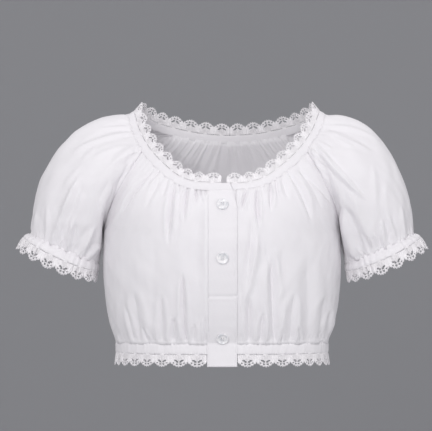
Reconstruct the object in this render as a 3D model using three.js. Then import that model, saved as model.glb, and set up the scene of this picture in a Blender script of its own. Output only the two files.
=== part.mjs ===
// A short white dirndl blouse, hollow and filled out as if worn: two fronts and a back gathered into a
// neck binding and a hem band, raglan puff sleeves gathered into flared cuff bands, a button placket
// lapped right over left, and scalloped lace edging at the neck, cuffs and hem. Millimetres, +Z up, the
// wearer faces -Y. The origin lies between the shoulders, where the blouse is carried.
import * as THREE from "three";

// Driving sizes. A womens size 36 to 38, about 75 cm round under the bust.
const CLOTH = 1.4; // wall of the gathered cotton
const BAND = 2.2; // wall of a band, which is cloth folded double
const LACE = 1.3; // wall of the cotton lace
const GAP = 0.3; // between pieces at a seam
const RAGLAN_PULL = 0.32; // how far each piece stays back from a raglan seam, which twists
const LACE_GAP = 0.45; // between lace and the band that carries it
const BINDING_HEIGHT = 11; // neck binding
const HEM_BAND_HEIGHT = 15;
const LACE_HEIGHT = 17; // from its stitched edge to the tips of its scallops
const PLACKET_HALF = 19.9; // half the width of the button placket
const PLACKET_SIDE = PLACKET_HALF + 0.5; // where the gathered fronts begin beside it
const HEM_SEAM_Z = -314; // where the gathers meet the hem band, at the sides and the back
const HEM_FRONT_Z = -310.5; // and at centre front
const LEAN = 0.058; // the neck sits this much further to the wearers left for each millimetre back
const BUTTON = { radius: 8, thick: 3, across: 0.4, segments: 16 };
// Heights of the button centres.
const BUTTON_HEIGHTS = { top: -126, middle: -196, bottom: -303 };
const BINDING_LAP = { under: 8, overTop: 11.6, overBottom: 14.5 }; // how far its ends pass the centre
const LACE_ENDS = { right: 1.7, left: 6 }; // where the neck lace stops short of the centre plane
const CORNER_LEAN = { from: 0.84, to: 1.03 }; // rises between which the placket's upper corner leans over
const SIDE_DROP = 2.2; // power by which a section falls or climbs towards its side
const HEM_FLARE = 2; // how far the tips of the hem lace stand out

// The neckline seam, from centre front over the left shoulder to centre back. lean and laceLean are the
// angles by which the binding and the lace fall inwards from upright, in degrees.
const NECKLINE = [
  { x: 0, y: -113, z: -107.5, lean: 20, laceLean: 36 },
  { x: 32, y: -110.5, z: -106.3, lean: 22, laceLean: 36 },
  { x: 57, y: -103, z: -100, lean: 28, laceLean: 38 },
  { x: 89, y: -82, z: -78, lean: 36, laceLean: 40 },
  { x: 113, y: -53, z: -53, lean: 44, laceLean: 42 },
  { x: 130, y: -20, z: -25, lean: 52, laceLean: 42 },
  { x: 138, y: 8, z: -2, lean: 56, laceLean: 40 },
  { x: 128, y: 36, z: -8, lean: 44, laceLean: 28 },
  { x: 106, y: 57, z: -20, lean: 26, laceLean: 14 },
  { x: 80, y: 69.5, z: -28, lean: 14, laceLean: 7 },
  { x: 38, y: 78, z: -36, lean: 8, laceLean: 4 },
  { x: 0, y: 80, z: -38.4, lean: 6, laceLean: 3 },
];
const FRONT_RAGLAN = 4; // row of the neckline where the front raglan seam meets it
const BACK_RAGLAN = 9; // row where the back raglan seam meets it

// Sections across a half front, from the hem seam up to the neckline. Each runs from centre front
// (centreY, centreZ) to the side seam or, above the underarm, to the raglan seam (edgeX, edgeY, edgeZ).
// turn is how far the section has turned towards the side when it gets there, in degrees.
const FRONT_SECTIONS = [
  { rise: 0, centreY: -101, centreZ: HEM_FRONT_Z, edgeX: 146, edgeY: 0, edgeZ: HEM_SEAM_Z, turn: 90 },
  { rise: 0.12, centreY: -112, centreZ: -286, edgeX: 155, edgeY: 0, edgeZ: -287, turn: 90 },
  { rise: 0.3, centreY: -124, centreZ: -247, edgeX: 161, edgeY: 0, edgeZ: -252, turn: 90 },
  { rise: 0.46, centreY: -131, centreZ: -210, edgeX: 164, edgeY: 0, edgeZ: -212, turn: 90 },
  { rise: 0.62, centreY: -133, centreZ: -176, edgeX: 164.5, edgeY: 0, edgeZ: -165, turn: 90 },
  { rise: 0.72, centreY: -131, centreZ: -157, edgeX: 160, edgeY: -27, edgeZ: -149, turn: 82 },
  { rise: 0.82, centreY: -127, centreZ: -138, edgeX: 151, edgeY: -50, edgeZ: -122, turn: 72 },
  { rise: 0.91, centreY: -121, centreZ: -122, edgeX: 134, edgeY: -61, edgeZ: -88, turn: 62 },
  { rise: 1, centreY: -113, centreZ: -107.5, edgeX: 113, edgeY: -53, edgeZ: -53, turn: 52 },
];
const FRONT_UNDERARM = 0.62; // rise of the underarm point on the front

const BACK_SECTIONS = [
  { rise: 0, centreY: 88, centreZ: HEM_SEAM_Z, edgeX: 146, edgeY: 0, edgeZ: HEM_SEAM_Z, turn: 90 },
  { rise: 0.15, centreY: 93, centreZ: -282, edgeX: 156, edgeY: 0, edgeZ: -283, turn: 90 },
  { rise: 0.35, centreY: 99, centreZ: -232, edgeX: 162.5, edgeY: 0, edgeZ: -236, turn: 90 },
  { rise: 0.55, centreY: 104, centreZ: -176, edgeX: 164.5, edgeY: 0, edgeZ: -165, turn: 90 },
  { rise: 0.66, centreY: 105, centreZ: -146, edgeX: 160, edgeY: 27, edgeZ: -150, turn: 84 },
  { rise: 0.78, centreY: 102, centreZ: -112, edgeX: 147, edgeY: 58, edgeZ: -121, turn: 74 },
  { rise: 0.89, centreY: 93, centreZ: -75, edgeX: 120, edgeY: 76, edgeZ: -78, turn: 64 },
  { rise: 1, centreY: 80, centreZ: -38.4, edgeX: 80, edgeY: 69.5, edgeZ: -28, turn: 50 },
];
const BACK_UNDERARM = 0.55;

// Rings round the cuff: level 0 is the seam of the sleeve, 1 the lower edge of the cuff band, 2 the tips
// of its lace. inner is the point next to the body, outer the one away from it, depth half the ring's
// size from front to back, and sag how much lower it hangs at the front and back.
const CUFF_RINGS = [
  { level: 0, innerX: 169.8, innerZ: -204, outerX: 262, outerZ: -164, depth: 50, sag: 0 },
  { level: 1, innerX: 171, innerZ: -217, outerX: 273.5, outerZ: -170, depth: 57, sag: 4 },
  { level: 2, innerX: 173.5, innerZ: -232.5, outerX: 284, outerZ: -186, depth: 61, sag: 6.5 },
];

// How the sleeve leaves its upper edge and arrives at the cuff, round the arm from the underarm over the
// front, the top and the back. out* is its first direction and fullness, up and swell the same above the
// cuff.
const SLEEVE_PUFF = [
  { round: 0, outX: 7, outY: 0, outZ: 1, up: 16, swell: -7 },
  { round: 0.13, outX: 16, outY: -17, outZ: 0, up: 34, swell: 14 },
  { round: 0.27, outX: 40, outY: -36, outZ: -4, up: 52, swell: 27 },
  { round: 0.49, outX: 76, outY: 0, outZ: 8, up: 68, swell: 32 },
  { round: 0.73, outX: 62, outY: 22, outZ: -2, up: 52, swell: 28 },
  { round: 0.87, outX: 22, outY: 5, outZ: -2, up: 34, swell: 14 },
  { round: 1, outX: 7, outY: 0, outZ: 1, up: 16, swell: -7 },
];
const SLEEVE_NECK = [0.27, 0.73]; // the share of the sleeve that is gathered into the neck binding

// Gathers. count is the number of folds, depth how far they stand in and out, reach how far they run in
// millimetres, and shift varies their spacing.
const GATHERS = {
  frontNeck: { count: 10, depth: 2.1, reach: 62, shift: 0.4 },
  frontHem: { count: 9, depth: 2.2, reach: 66, shift: 1.9 },
  backNeck: { count: 13, depth: 2, reach: 60, shift: 0.9 },
  backHem: { count: 14, depth: 2.1, reach: 60, shift: 2.6 },
  sleeveNeck: { count: 9, depth: 2, reach: 70, shift: 1.3 },
  sleeveCuff: { count: 17, depth: 2.4, reach: 58, shift: 0.2 },
};

// How finely each piece is divided.
const FRONT_COLUMNS = 32;
const BACK_COLUMNS = 44;
const FRONT_ROWS = [0, 0.05, 0.13, 0.3, 0.48, 0.62, 0.72, 0.82, 0.9, 0.96, 1];
const BACK_ROWS = [0, 0.05, 0.14, 0.34, 0.55, 0.68, 0.8, 0.9, 0.96, 1];
const SLEEVE_ROWS = [0, 0.05, 0.13, 0.27, 0.43, 0.58, 0.72, 0.84, 0.94, 1];
const SLEEVE_SEAM_SPLIT = 3; // columns of the sleeve for each row of the front or back beside it
const SLEEVE_NECK_COLUMNS = 24;
const PLACKET_COLUMNS = 4;
const PLACKET_RISES = [0, 0.06, 0.13, 0.22, 0.34, 0.46, 0.56, 0.64, 0.72, 0.8, 0.88, 0.94, 1];
const NECK_BAND_STEPS = 52;
const HEM_BAND_STEPS = 52;
const CUFF_BAND_STEPS = 36;
const SCALLOPS = { neckHalf: 17, hemHalf: 17, cuffHalf: 8 };

// One scallop of the lace, u across it and v from its stitched edge to its tip, both from 0 to 1. Its two
// eyelets stand like open wings.
const SCALLOP_EDGE = [
  { u: 0, v: 0 },
  { u: 0.5, v: 0 },
  { u: 1, v: 0 },
  { u: 1, v: 0.67 },
  { u: 0.87, v: 0.85 },
  { u: 0.68, v: 0.98 },
  { u: 0.32, v: 0.98 },
  { u: 0.13, v: 0.85 },
  { u: 0, v: 0.67 },
];
const SCALLOP_EYELETS = [
  [
    { u: 0.19, v: 0.38 },
    { u: 0.45, v: 0.68 },
    { u: 0.46, v: 0.45 },
  ],
  [
    { u: 0.81, v: 0.38 },
    { u: 0.54, v: 0.45 },
    { u: 0.55, v: 0.68 },
  ],
];

const rad = THREE.MathUtils.degToRad;
const lerp = THREE.MathUtils.lerp;
const smooth = THREE.MathUtils.smoothstep; // smooth(value, low, high)
const vec = (x, y, z) => new THREE.Vector3(x, y, z);

// A function that reads a table between its rows with a smooth curve that never overshoots them.
function readTable(rows, key) {
  const names = Object.keys(rows[0]).filter((name) => name !== key);
  const at = rows.map((row) => row[key]);
  const slopes = {};
  for (const name of names) {
    const rise = at.slice(1).map((a, i) => (rows[i + 1][name] - rows[i][name]) / (a - at[i]));
    slopes[name] = rows.map((row, i) => {
      if (i === 0) return rise[0];
      if (i === rows.length - 1) return rise[i - 1];
      const [before, after] = [rise[i - 1], rise[i]];
      return before * after <= 0 ? 0 : (2 * before * after) / (before + after);
    });
  }
  return (value) => {
    let i = at.findIndex((a) => a > value) - 1;
    if (i === -2) i = rows.length - 2;
    i = Math.max(0, i);
    const span = at[i + 1] - at[i];
    const k = THREE.MathUtils.clamp((value - at[i]) / span, 0, 1);
    const read = {};
    for (const name of names) {
      const [a, b] = [rows[i][name], rows[i + 1][name]];
      const [da, db] = [slopes[name][i] * span, slopes[name][i + 1] * span];
      const leaving = a * (1 + 2 * k) * (1 - k) ** 2 + da * k * (1 - k) ** 2;
      const arriving = b * k * k * (3 - 2 * k) + db * k * k * (k - 1);
      read[name] = leaving + arriving;
    }
    return read;
  };
}

// The neckline as one closed loop. along is 0 at centre front, 0.5 at centre back, and negative or over
// 0.5 on the wearers right.
function closeNeckline() {
  let length = 0;
  const half = NECKLINE.map((row, i) => {
    const before = NECKLINE[Math.max(0, i - 1)];
    length += Math.hypot(row.x - before.x, row.y - before.y, row.z - before.z);
    return { ...row, along: length };
  });
  const right = half.map((row) => ({ ...row, along: (0.5 * row.along) / length }));
  const mirrored = (row, sign, turn) => ({ ...row, x: -row.x, along: turn + sign * row.along });
  return [
    ...right.slice(1).reverse().map((row) => mirrored(row, -1, 0)),
    ...right,
    ...right.slice(0, -1).reverse().map((row) => mirrored(row, -1, 1)),
    ...right.slice(1, 3).map((row) => ({ ...row, along: row.along + 1 })),
  ];
}
const neckRows = closeNeckline();
const readNeck = readTable(neckRows, "along");
const neckAlong = (row) => neckRows[NECKLINE.length - 1 + row].along;
const neckPoint = (along) => {
  const { x, y, z } = readNeck(along);
  return vec(x, y, z);
};

// The directions at a point of the neckline: along it, up the binding or the lace, and out of the
// garment.
function neckFrame(along, leanName) {
  const step = 0.002; // of the neckline, either way
  const tangent = neckPoint(along + step).sub(neckPoint(along - step)).normalize();
  const inward = vec(-tangent.y, tangent.x, 0).normalize();
  const upright = tangent.clone().cross(inward).normalize();
  if (upright.z < 0) upright.negate();
  const lean = rad(readNeck(along)[leanName]);
  const up = upright.multiplyScalar(Math.cos(lean)).addScaledVector(inward, Math.sin(lean)).normalize();
  return { tangent, up, out: tangent.clone().cross(up).normalize() };
}

// The share of the neckline at which it is a given distance from the centre plane, in front.
function neckAlongAtX(x) {
  let [low, high] = [0, neckAlong(FRONT_RAGLAN)];
  for (let i = 0; i < 30; i++) {
    const middle = (low + high) / 2;
    if (neckPoint(middle).x < x) low = middle;
    else high = middle;
  }
  return low;
}
const PLACKET_ALONG = neckAlongAtX(PLACKET_SIDE);
const FRONT_ALONG = neckAlong(FRONT_RAGLAN);
const BACK_ALONG = neckAlong(BACK_RAGLAN);

// The place on a section that lies x from the centre plane.
const shareAtX = (section, x) =>
  Math.asin((x * Math.sin(rad(section.turn))) / section.edgeX) / rad(section.turn);

// A point of a section across the front or back. share is 0 at the centre and 1 at the seam.
function sectionPoint(section, share) {
  const turn = rad(section.turn);
  const angle = share * turn;
  const x = (section.edgeX * Math.sin(angle)) / Math.sin(turn);
  const bow = (Math.cos(angle) - Math.cos(turn)) / (1 - Math.cos(turn));
  const y = section.edgeY + (section.centreY - section.edgeY) * bow;
  const z = section.centreZ + (section.edgeZ - section.centreZ) * share ** SIDE_DROP;
  return vec(x, y, z);
}

const readFront = readTable(FRONT_SECTIONS, "rise");
const readBack = readTable(BACK_SECTIONS, "rise");
const seamPoint = (read, rise) => {
  const { edgeX, edgeY, edgeZ } = read(rise);
  return vec(edgeX, edgeY, edgeZ);
};

// The left front without its folds. across runs from the placket to the side, rise from the hem seam to
// the neck.
function frontSurface(across, rise) {
  const section = readFront(rise);
  const top = FRONT_SECTIONS.at(-1);
  const point = sectionPoint(section, lerp(shareAtX(section, PLACKET_SIDE), 1, across));
  const topPoint = sectionPoint(top, lerp(shareAtX(top, PLACKET_SIDE), 1, across));
  const drift = neckPoint(lerp(PLACKET_ALONG, FRONT_ALONG, across)).sub(topPoint);
  return point.addScaledVector(drift, smooth(rise, FRONT_UNDERARM, 1));
}

// The left half of the back without its folds. across runs from centre back to the side.
function backSurface(across, rise) {
  const point = sectionPoint(readBack(rise), across);
  const drift = neckPoint(lerp(0.5, BACK_ALONG, across)).sub(sectionPoint(BACK_SECTIONS.at(-1), across));
  return point.addScaledVector(drift, smooth(rise, BACK_UNDERARM, 1));
}

// The upper edge of the left sleeve, from the underarm up the front raglan seam, along the neckline and
// down the back raglan seam. Each raglan seam is the broken line through the rows of the front or back
// beside it.
const seamRows = (read, rows, underarm) =>
  rows.filter((rise) => rise >= underarm).map((rise) => seamPoint(read, rise));
const frontSeam = seamRows(readFront, FRONT_ROWS, FRONT_UNDERARM);
const backSeam = seamRows(readBack, BACK_ROWS, BACK_UNDERARM);
function alongLine(points, share) {
  const place = THREE.MathUtils.clamp(share, 0, 1) * (points.length - 1);
  const i = Math.min(points.length - 2, Math.floor(place));
  return points[i].clone().lerp(points[i + 1], place - i);
}
function sleeveTop(round) {
  const [from, to] = SLEEVE_NECK;
  if (round < from) return alongLine(frontSeam, round / from);
  if (round > to) return alongLine(backSeam, (1 - round) / (1 - to));
  return neckPoint(lerp(FRONT_ALONG, BACK_ALONG, (round - from) / (to - from)));
}

// The rings of the cuff. round runs from the point next to the body over the front.
const readCuff = readTable(CUFF_RINGS, "level");
function cuffRing(round, level) {
  const ring = readCuff(level);
  const inner = vec(ring.innerX, 0, ring.innerZ);
  const outer = vec(ring.outerX, 0, ring.outerZ);
  const angle = 2 * Math.PI * round;
  return inner
    .clone()
    .add(outer)
    .multiplyScalar(0.5)
    .addScaledVector(inner.clone().sub(outer), 0.5 * Math.cos(angle))
    .add(vec(0, -ring.depth * Math.sin(angle), -ring.sag * Math.sin(angle) ** 2));
}
const cuffInner = cuffRing(0, 0).sub(cuffRing(0.5, 0)).normalize();
const cuffDown = vec(-cuffInner.z, 0, cuffInner.x);
function cuffOut(round) {
  const angle = 2 * Math.PI * round;
  return cuffInner.clone().multiplyScalar(Math.cos(angle)).add(vec(0, -Math.sin(angle), 0)).normalize();
}
// The directions at a place on the cuff band or its lace: down the sleeve and out of it.
function cuffFrame(round, from, to) {
  const step = 0.003;
  const tangent = cuffRing(round + step, from).sub(cuffRing(round - step, from)).normalize();
  const down = cuffRing(round, to).sub(cuffRing(round, from)).normalize();
  return { down, out: tangent.cross(down).negate().normalize() };
}

// The left sleeve without its folds, each of its lines a cubic curve from the upper edge to the cuff.
const readPuff = readTable(SLEEVE_PUFF, "round");
function sleeveSurface(round, down) {
  const puff = readPuff(round);
  const start = sleeveTop(round);
  const end = cuffRing(round, 0);
  const leave = start.clone().add(vec(puff.outX, puff.outY, puff.outZ));
  const arrive = end.clone().addScaledVector(cuffDown, -puff.up).addScaledVector(cuffOut(round), puff.swell);
  return new THREE.CubicBezierCurve3(start, leave, arrive, end).getPoint(down);
}

// The outward normal of a surface. flip is -1 where its two directions run the other way round.
function normalOf(surface, a, b, flip, wrap) {
  const step = 0.004; // of the surface, either way
  const clampA = (v) => (wrap ? v : THREE.MathUtils.clamp(v, 0, 1));
  const clampB = (v) => THREE.MathUtils.clamp(v, 0, 1);
  const turn = (v) => (wrap ? ((v % 1) + 1) % 1 : v);
  const da = surface(turn(clampA(a + step)), b).sub(surface(turn(clampA(a - step)), b));
  const db = surface(turn(a), clampB(b + step)).sub(surface(turn(a), clampB(b - step)));
  return da.cross(db).multiplyScalar(flip).normalize();
}
const frontNormal = (across, rise) => normalOf(frontSurface, across, rise, 1, false);
const backNormal = (across, rise) => normalOf(backSurface, across, rise, -1, false);
const sleeveNormal = (round, down) => normalOf(sleeveSurface, round, down, -1, true);

// Slow waves along a gathered edge that make its folds uneven: how far each wave moves or changes a fold,
// and how often it repeats along the edge.
const UNEVEN = {
  spacing: { amount: 0.22, waves: 1.7 },
  closeSpacing: { amount: 0.14, waves: 3.1 },
  depth: { amount: 0.2, waves: 2.3 },
  reach: { amount: 0.25, waves: 3.7 },
};
const uneven = ({ amount, waves }, place, shift) => amount * Math.sin(2 * Math.PI * waves * place + shift);

// The height of the folds at a place from 0 to 1 along the gathered edge.
function fold({ count, shift }, place) {
  const phase = count * place + uneven(UNEVEN.spacing, place, shift) + uneven(UNEVEN.closeSpacing, place, 0);
  const size = 1 - UNEVEN.depth.amount + uneven(UNEVEN.depth, place, 2 * shift);
  return size * Math.cos(2 * Math.PI * phase);
}
// How far folds still stand out at a distance from the gathered edge. The stitching flattens them a
// little.
const STITCHED = { height: 0.75, width: 10 };
function fade(gathers, place, distance) {
  const reach = gathers.reach * (1 - UNEVEN.reach.amount + uneven(UNEVEN.reach, place, gathers.shift));
  const start = lerp(STITCHED.height, 1, smooth(distance, 0, STITCHED.width));
  return gathers.depth * start * Math.exp(-((distance / reach) ** 2));
}
const gatherHeight = (gathers, place, distance) => fold(gathers, place) * fade(gathers, place, distance);
const CALM = 0.07; // share of a gathered edge over which the folds begin at either end
const calmEdges = (place) => smooth(place, 0, CALM) * (1 - smooth(place, 1 - CALM, 1));

// Lengths of cloth between the gathered edges.
const FRONT_LENGTH = 235;
const BACK_LENGTH = 285;
const SLEEVE_LENGTH = { under: 40, over: 225 };
function frontFolds(across, rise) {
  const neck = gatherHeight(GATHERS.frontNeck, across, (1 - rise) * FRONT_LENGTH);
  const hem = gatherHeight(GATHERS.frontHem, across, rise * FRONT_LENGTH);
  return (neck + hem) * calmEdges(across);
}
function backFolds(across, rise) {
  const neck = gatherHeight(GATHERS.backNeck, across, (1 - rise) * BACK_LENGTH);
  const hem = gatherHeight(GATHERS.backHem, across, rise * BACK_LENGTH);
  return (neck + hem) * calmEdges(across);
}
function sleeveFolds(round, down) {
  const [from, to] = SLEEVE_NECK;
  const place = (round - from) / (to - from);
  const length = lerp(SLEEVE_LENGTH.under, SLEEVE_LENGTH.over, Math.sin(Math.PI * round));
  const inNeck = place > 0 && place < 1 ? calmEdges(place) : 0;
  const neck = inNeck * gatherHeight(GATHERS.sleeveNeck, place, down * length);
  const roomy = smooth(Math.sin(Math.PI * round), 0.1, 0.5); // the side next to the body lies flat
  const atCuff = smooth(down, 0, 0.4);
  return neck + roomy * atCuff * gatherHeight(GATHERS.sleeveCuff, round, (1 - down) * length);
}

// The neck sits a little to the wearers left of the hem.
function settle(point) {
  const height = smooth(point.z, -170, -60);
  const middle = 1 - smooth(Math.abs(point.x), 140, 262);
  point.x += LEAN * (point.y + 113) * height * middle;
  return point;
}
const ontoSide = (point, side) => settle(vec(point.x * side, point.y, point.z));

// A closed mesh from triangles given by their corners.
function meshOf(name, material, triangles, side) {
  const corners = side < 0 ? triangles.map(([a, b, c]) => [a, c, b]) : triangles;
  const positions = corners.flat().flatMap((point) => {
    const placed = ontoSide(point, side);
    return [placed.x, placed.y, placed.z];
  });
  const geometry = new THREE.BufferGeometry();
  geometry.setAttribute("position", new THREE.Float32BufferAttribute(positions, 3));
  geometry.computeVertexNormals();
  const mesh = new THREE.Mesh(geometry, material);
  mesh.name = name;
  return mesh;
}

// The triangles of a wall between an outer and an inner grid of points, outer[column][row]. A ring wraps
// round from its last column to its first. The faces of a panel lie as in a mirror on both sides of its
// middle.
function wall(outer, inner, ring) {
  const triangles = [];
  const quad = (a, b, c, d) => triangles.push([a, b, c], [a, c, d]);
  const columns = outer.length;
  const rows = outer[0].length;
  const last = ring ? columns : columns - 1;
  for (let i = 0; i < last; i++) {
    const j = (i + 1) % columns;
    for (let k = 0; k < rows - 1; k++) {
      if (!ring && 2 * i >= last) {
        quad(outer[j][k], outer[j][k + 1], outer[i][k + 1], outer[i][k]);
        quad(inner[i][k + 1], inner[j][k + 1], inner[j][k], inner[i][k]);
      } else {
        quad(outer[i][k], outer[j][k], outer[j][k + 1], outer[i][k + 1]);
        quad(inner[i][k], inner[i][k + 1], inner[j][k + 1], inner[j][k]);
      }
    }
    quad(outer[i][0], inner[i][0], inner[j][0], outer[j][0]);
    quad(outer[j][rows - 1], inner[j][rows - 1], inner[i][rows - 1], outer[i][rows - 1]);
  }
  if (!ring) {
    const end = columns - 1;
    for (let k = 0; k < rows - 1; k++) {
      quad(outer[0][k], outer[0][k + 1], inner[0][k + 1], inner[0][k]);
      quad(outer[end][k], inner[end][k], inner[end][k + 1], outer[end][k + 1]);
    }
  }
  return triangles;
}

// A wall from a function that gives each grid place its point and its outward direction.
function wallFrom(columns, rows, thick, place, ring) {
  const grid = columns.map((a) => rows.map((b) => place(a, b)));
  const moved = ({ point, out }, offset) => point.clone().addScaledVector(out, offset);
  const shell = (offset) => grid.map((line) => line.map((entry) => moved(entry, offset)));
  return wall(shell(thick / 2), shell(-thick / 2), ring);
}
const steps = (count) => Array.from({ length: count + 1 }, (_, i) => i / count);

// Both pieces at a raglan seam end on one strip, which stands along the middle of their outward
// directions.
const between = (a, b) => a.clone().add(b).normalize();
const UNDERARM_OUT = vec(0.4, 0, -1).normalize();
const UNDERARM_STEP = vec(1.3, 0, -0.2); // how far the sleeve starts from the side seam there
function seamStations(seam, rows, underarm, normal, roundAt) {
  const used = rows.filter((rise) => rise >= underarm);
  return used.map((rise, i) => {
    const round = roundAt(i / (used.length - 1));
    if (i === 0) return { rise, out: UNDERARM_OUT, into: UNDERARM_STEP };
    const into = sleeveSurface(round, 0.01).sub(seam[i]).setLength(RAGLAN_PULL);
    if (i < used.length - 1) return { rise, out: between(normal(1, rise), sleeveNormal(round, 0)), into };
    const along = lerp(FRONT_ALONG, BACK_ALONG, (round - SLEEVE_NECK[0]) / (SLEEVE_NECK[1] - SLEEVE_NECK[0]));
    return { rise, out: neckFrame(along, "lean").out, into };
  });
}
const frontStations = seamStations(
  frontSeam, FRONT_ROWS, FRONT_UNDERARM, frontNormal, (share) => share * SLEEVE_NECK[0],
);
const backStations = seamStations(
  backSeam, BACK_ROWS, BACK_UNDERARM, backNormal, (share) => 1 - share * (1 - SLEEVE_NECK[1]),
);
const seamOut = (stations, rise) => stations.slice(1).find((station) => station.rise === rise)?.out.clone();

const cotton = new THREE.MeshStandardMaterial({ color: 0xf1f0f4, roughness: 0.85, metalness: 0 });
const bandCotton = new THREE.MeshStandardMaterial({ color: 0xf4f3f7, roughness: 0.8, metalness: 0 });
const laceCotton = new THREE.MeshStandardMaterial({ color: 0xf6f5f8, roughness: 0.9, metalness: 0 });
const pearl = new THREE.MeshStandardMaterial({ color: 0xecebf0, roughness: 0.3, metalness: 0 });

const blouse = new THREE.Group();
const add = (name, material, triangles, side) => blouse.add(meshOf(name, material, triangles, side));

// Both fronts: gathered at the neck and hem, flat at the placket and the side.
function frontWall() {
  const place = (across, rise) => {
    const point = frontSurface(across, rise);
    const along = lerp(PLACKET_ALONG, FRONT_ALONG, across);
    let out = frontNormal(across, rise);
    if (across === 1) out = seamOut(frontStations, rise) ?? out;
    if (rise === 0) out = out.setZ(0).normalize();
    if (rise === 1) out = neckFrame(along, "lean").out;
    point.addScaledVector(out, frontFolds(across, rise));
    if (rise === 1) point.addScaledVector(neckFrame(along, "lean").up, -GAP / 2);
    if (across === 1) point.add(frontSurface(0.99, rise).sub(frontSurface(1, rise)).setLength(RAGLAN_PULL));
    return { point, out };
  };
  return wallFrom(steps(FRONT_COLUMNS), FRONT_ROWS, CLOTH, place, false);
}
const front = frontWall();
add("front_left", cotton, front, 1);
add("front_right", cotton, front, -1);

// The back in one piece, from the right side seam to the left.
function backWall() {
  const place = (across, rise) => {
    const side = Math.sign(across - 0.5) || 1;
    const half = Math.abs(2 * across - 1);
    const point = backSurface(half, rise);
    const along = lerp(0.5, BACK_ALONG, half);
    let out = backNormal(half, rise);
    if (half === 1) out = seamOut(backStations, rise) ?? out;
    if (rise === 0) out = out.setZ(0).normalize();
    if (rise === 1) out = neckFrame(along, "lean").out;
    point.addScaledVector(out, backFolds(across, rise));
    if (rise === 1) point.addScaledVector(neckFrame(along, "lean").up, -GAP / 2);
    if (half === 1) point.add(backSurface(0.99, rise).sub(backSurface(1, rise)).setLength(RAGLAN_PULL));
    point.x *= side;
    out.x *= side;
    return { point, out };
  };
  return wallFrom(steps(BACK_COLUMNS).reverse(), BACK_ROWS, CLOTH, place, false);
}
add("back", cotton, backWall(), 1);

// The puff sleeves, each one piece sewn into a tube.
function sleeveColumns() {
  const [from, to] = SLEEVE_NECK;
  const seam = (points) => steps((points.length - 1) * SLEEVE_SEAM_SPLIT);
  return [
    ...seam(frontSeam).slice(0, -1).map((share) => share * from),
    ...steps(SLEEVE_NECK_COLUMNS).map((share) => lerp(from, to, share)),
    ...seam(backSeam).slice(1, -1).map((share) => lerp(to, 1, share)),
  ];
}
function sleeveWall() {
  const [from, to] = SLEEVE_NECK;
  const alongStations = (stations, share, name) => alongLine(stations.map((station) => station[name]), share);
  const place = (round, down) => {
    const point = sleeveSurface(round, down);
    const along = lerp(FRONT_ALONG, BACK_ALONG, (round - from) / (to - from));
    let out = sleeveNormal(round, down);
    if (down === 0) {
      if (round <= from) out = alongStations(frontStations, round / from, "out");
      else if (round >= to) out = alongStations(backStations, (1 - round) / (1 - to), "out");
      else out = neckFrame(along, "lean").out;
    }
    if (down === 1) out = cuffOut(round);
    point.addScaledVector(out, sleeveFolds(round, down));
    if (down === 0) {
      if (round <= from) point.add(alongStations(frontStations, round / from, "into"));
      if (round >= to) point.add(alongStations(backStations, (1 - round) / (1 - to), "into"));
      if (round >= from && round <= to) point.addScaledVector(neckFrame(along, "lean").up, -GAP / 2);
    }
    if (down === 1) point.addScaledVector(cuffDown, -GAP / 2);
    return { point, out };
  };
  return wallFrom(sleeveColumns().reverse(), SLEEVE_ROWS, CLOTH, place, true);
}
const sleeve = sleeveWall();
add("sleeve_left", cotton, sleeve, 1);
add("sleeve_right", cotton, sleeve, -1);

// The neck binding, one folded strip from its wearers left end, beneath, round the back to its right end,
// on top.
const LAYER = (BAND + GAP) / 2;
const LAP_STEPS = [4, BINDING_LAP.under, 12, 20]; // distances from the centre at which the lap is divided
const LAP_RUN = [0.015, 0.1]; // share of the neckline over which either end leaves the middle layer
const lapOffset = (turn) =>
  LAYER * (smooth(turn, 1 - LAP_RUN[1], 1 - LAP_RUN[0]) + smooth(turn, ...LAP_RUN) - 1);
function bindingPlace(turn, share) {
  const { up, out } = neckFrame(turn, "lean");
  const point = neckPoint(turn)
    .addScaledVector(up, GAP / 2 + share * BINDING_HEIGHT)
    .addScaledVector(out, lapOffset(turn));
  return { point, out };
}
function bindingWall() {
  const [near, half, far, clear] = LAP_STEPS.map(neckAlongAtX);
  const end = 2; // marks the slanted upper end
  const turns = [
    ...[-half, -near, 0, near, half, far],
    ...steps(NECK_BAND_STEPS).map((share) => lerp(clear, 1 - clear, share)),
    ...[1 - far, 1 - half, 1 - near, 1, 1 + near, 1 + half, end],
  ];
  const endAt = (share) => 1 + neckAlongAtX(lerp(BINDING_LAP.overBottom, BINDING_LAP.overTop, share));
  const place = (turn, share) => bindingPlace(turn === end ? endAt(share) : turn, share);
  return wallFrom(turns, [0, 1], BAND, place, false);
}
add("neck_binding", bandCotton, bindingWall(), 1);

// The placket strips down the front edges, right over left, from below the binding to the foot of the hem
// lace.
const PLACKET_FOOT = HEM_BAND_HEIGHT + LACE_HEIGHT;
function placketPlace(x, row) {
  const near = Math.abs(x);
  const section = readFront(row.rise);
  const top = FRONT_SECTIONS.at(-1);
  const point = sectionPoint(section, shareAtX(section, near));
  const drift = neckPoint(neckAlongAtX(near)).sub(sectionPoint(top, shareAtX(top, near)));
  point.addScaledVector(drift, smooth(row.rise, FRONT_UNDERARM, 1));
  point.z -= row.drop;
  const out = frontNormal(0, row.rise);
  if (row.rise === 0) out.z = 0;
  if (row.rise === 1) {
    const neck = neckFrame(neckAlongAtX(near), "lean");
    out.copy(neck.out);
    point.addScaledVector(neck.up, -GAP / 2);
  }
  if (row.rise < 1) out.x *= near / PLACKET_SIDE;
  out.normalize();
  point.x *= Math.sign(x) || 1;
  out.x *= Math.sign(x);
  return { point, out };
}
const PLACKET_ROWS = [
  ...[PLACKET_FOOT, PLACKET_FOOT / 2].map((drop) => ({ rise: 0, drop })),
  ...PLACKET_RISES.map((rise) => ({ rise, drop: 0 })),
];
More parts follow.
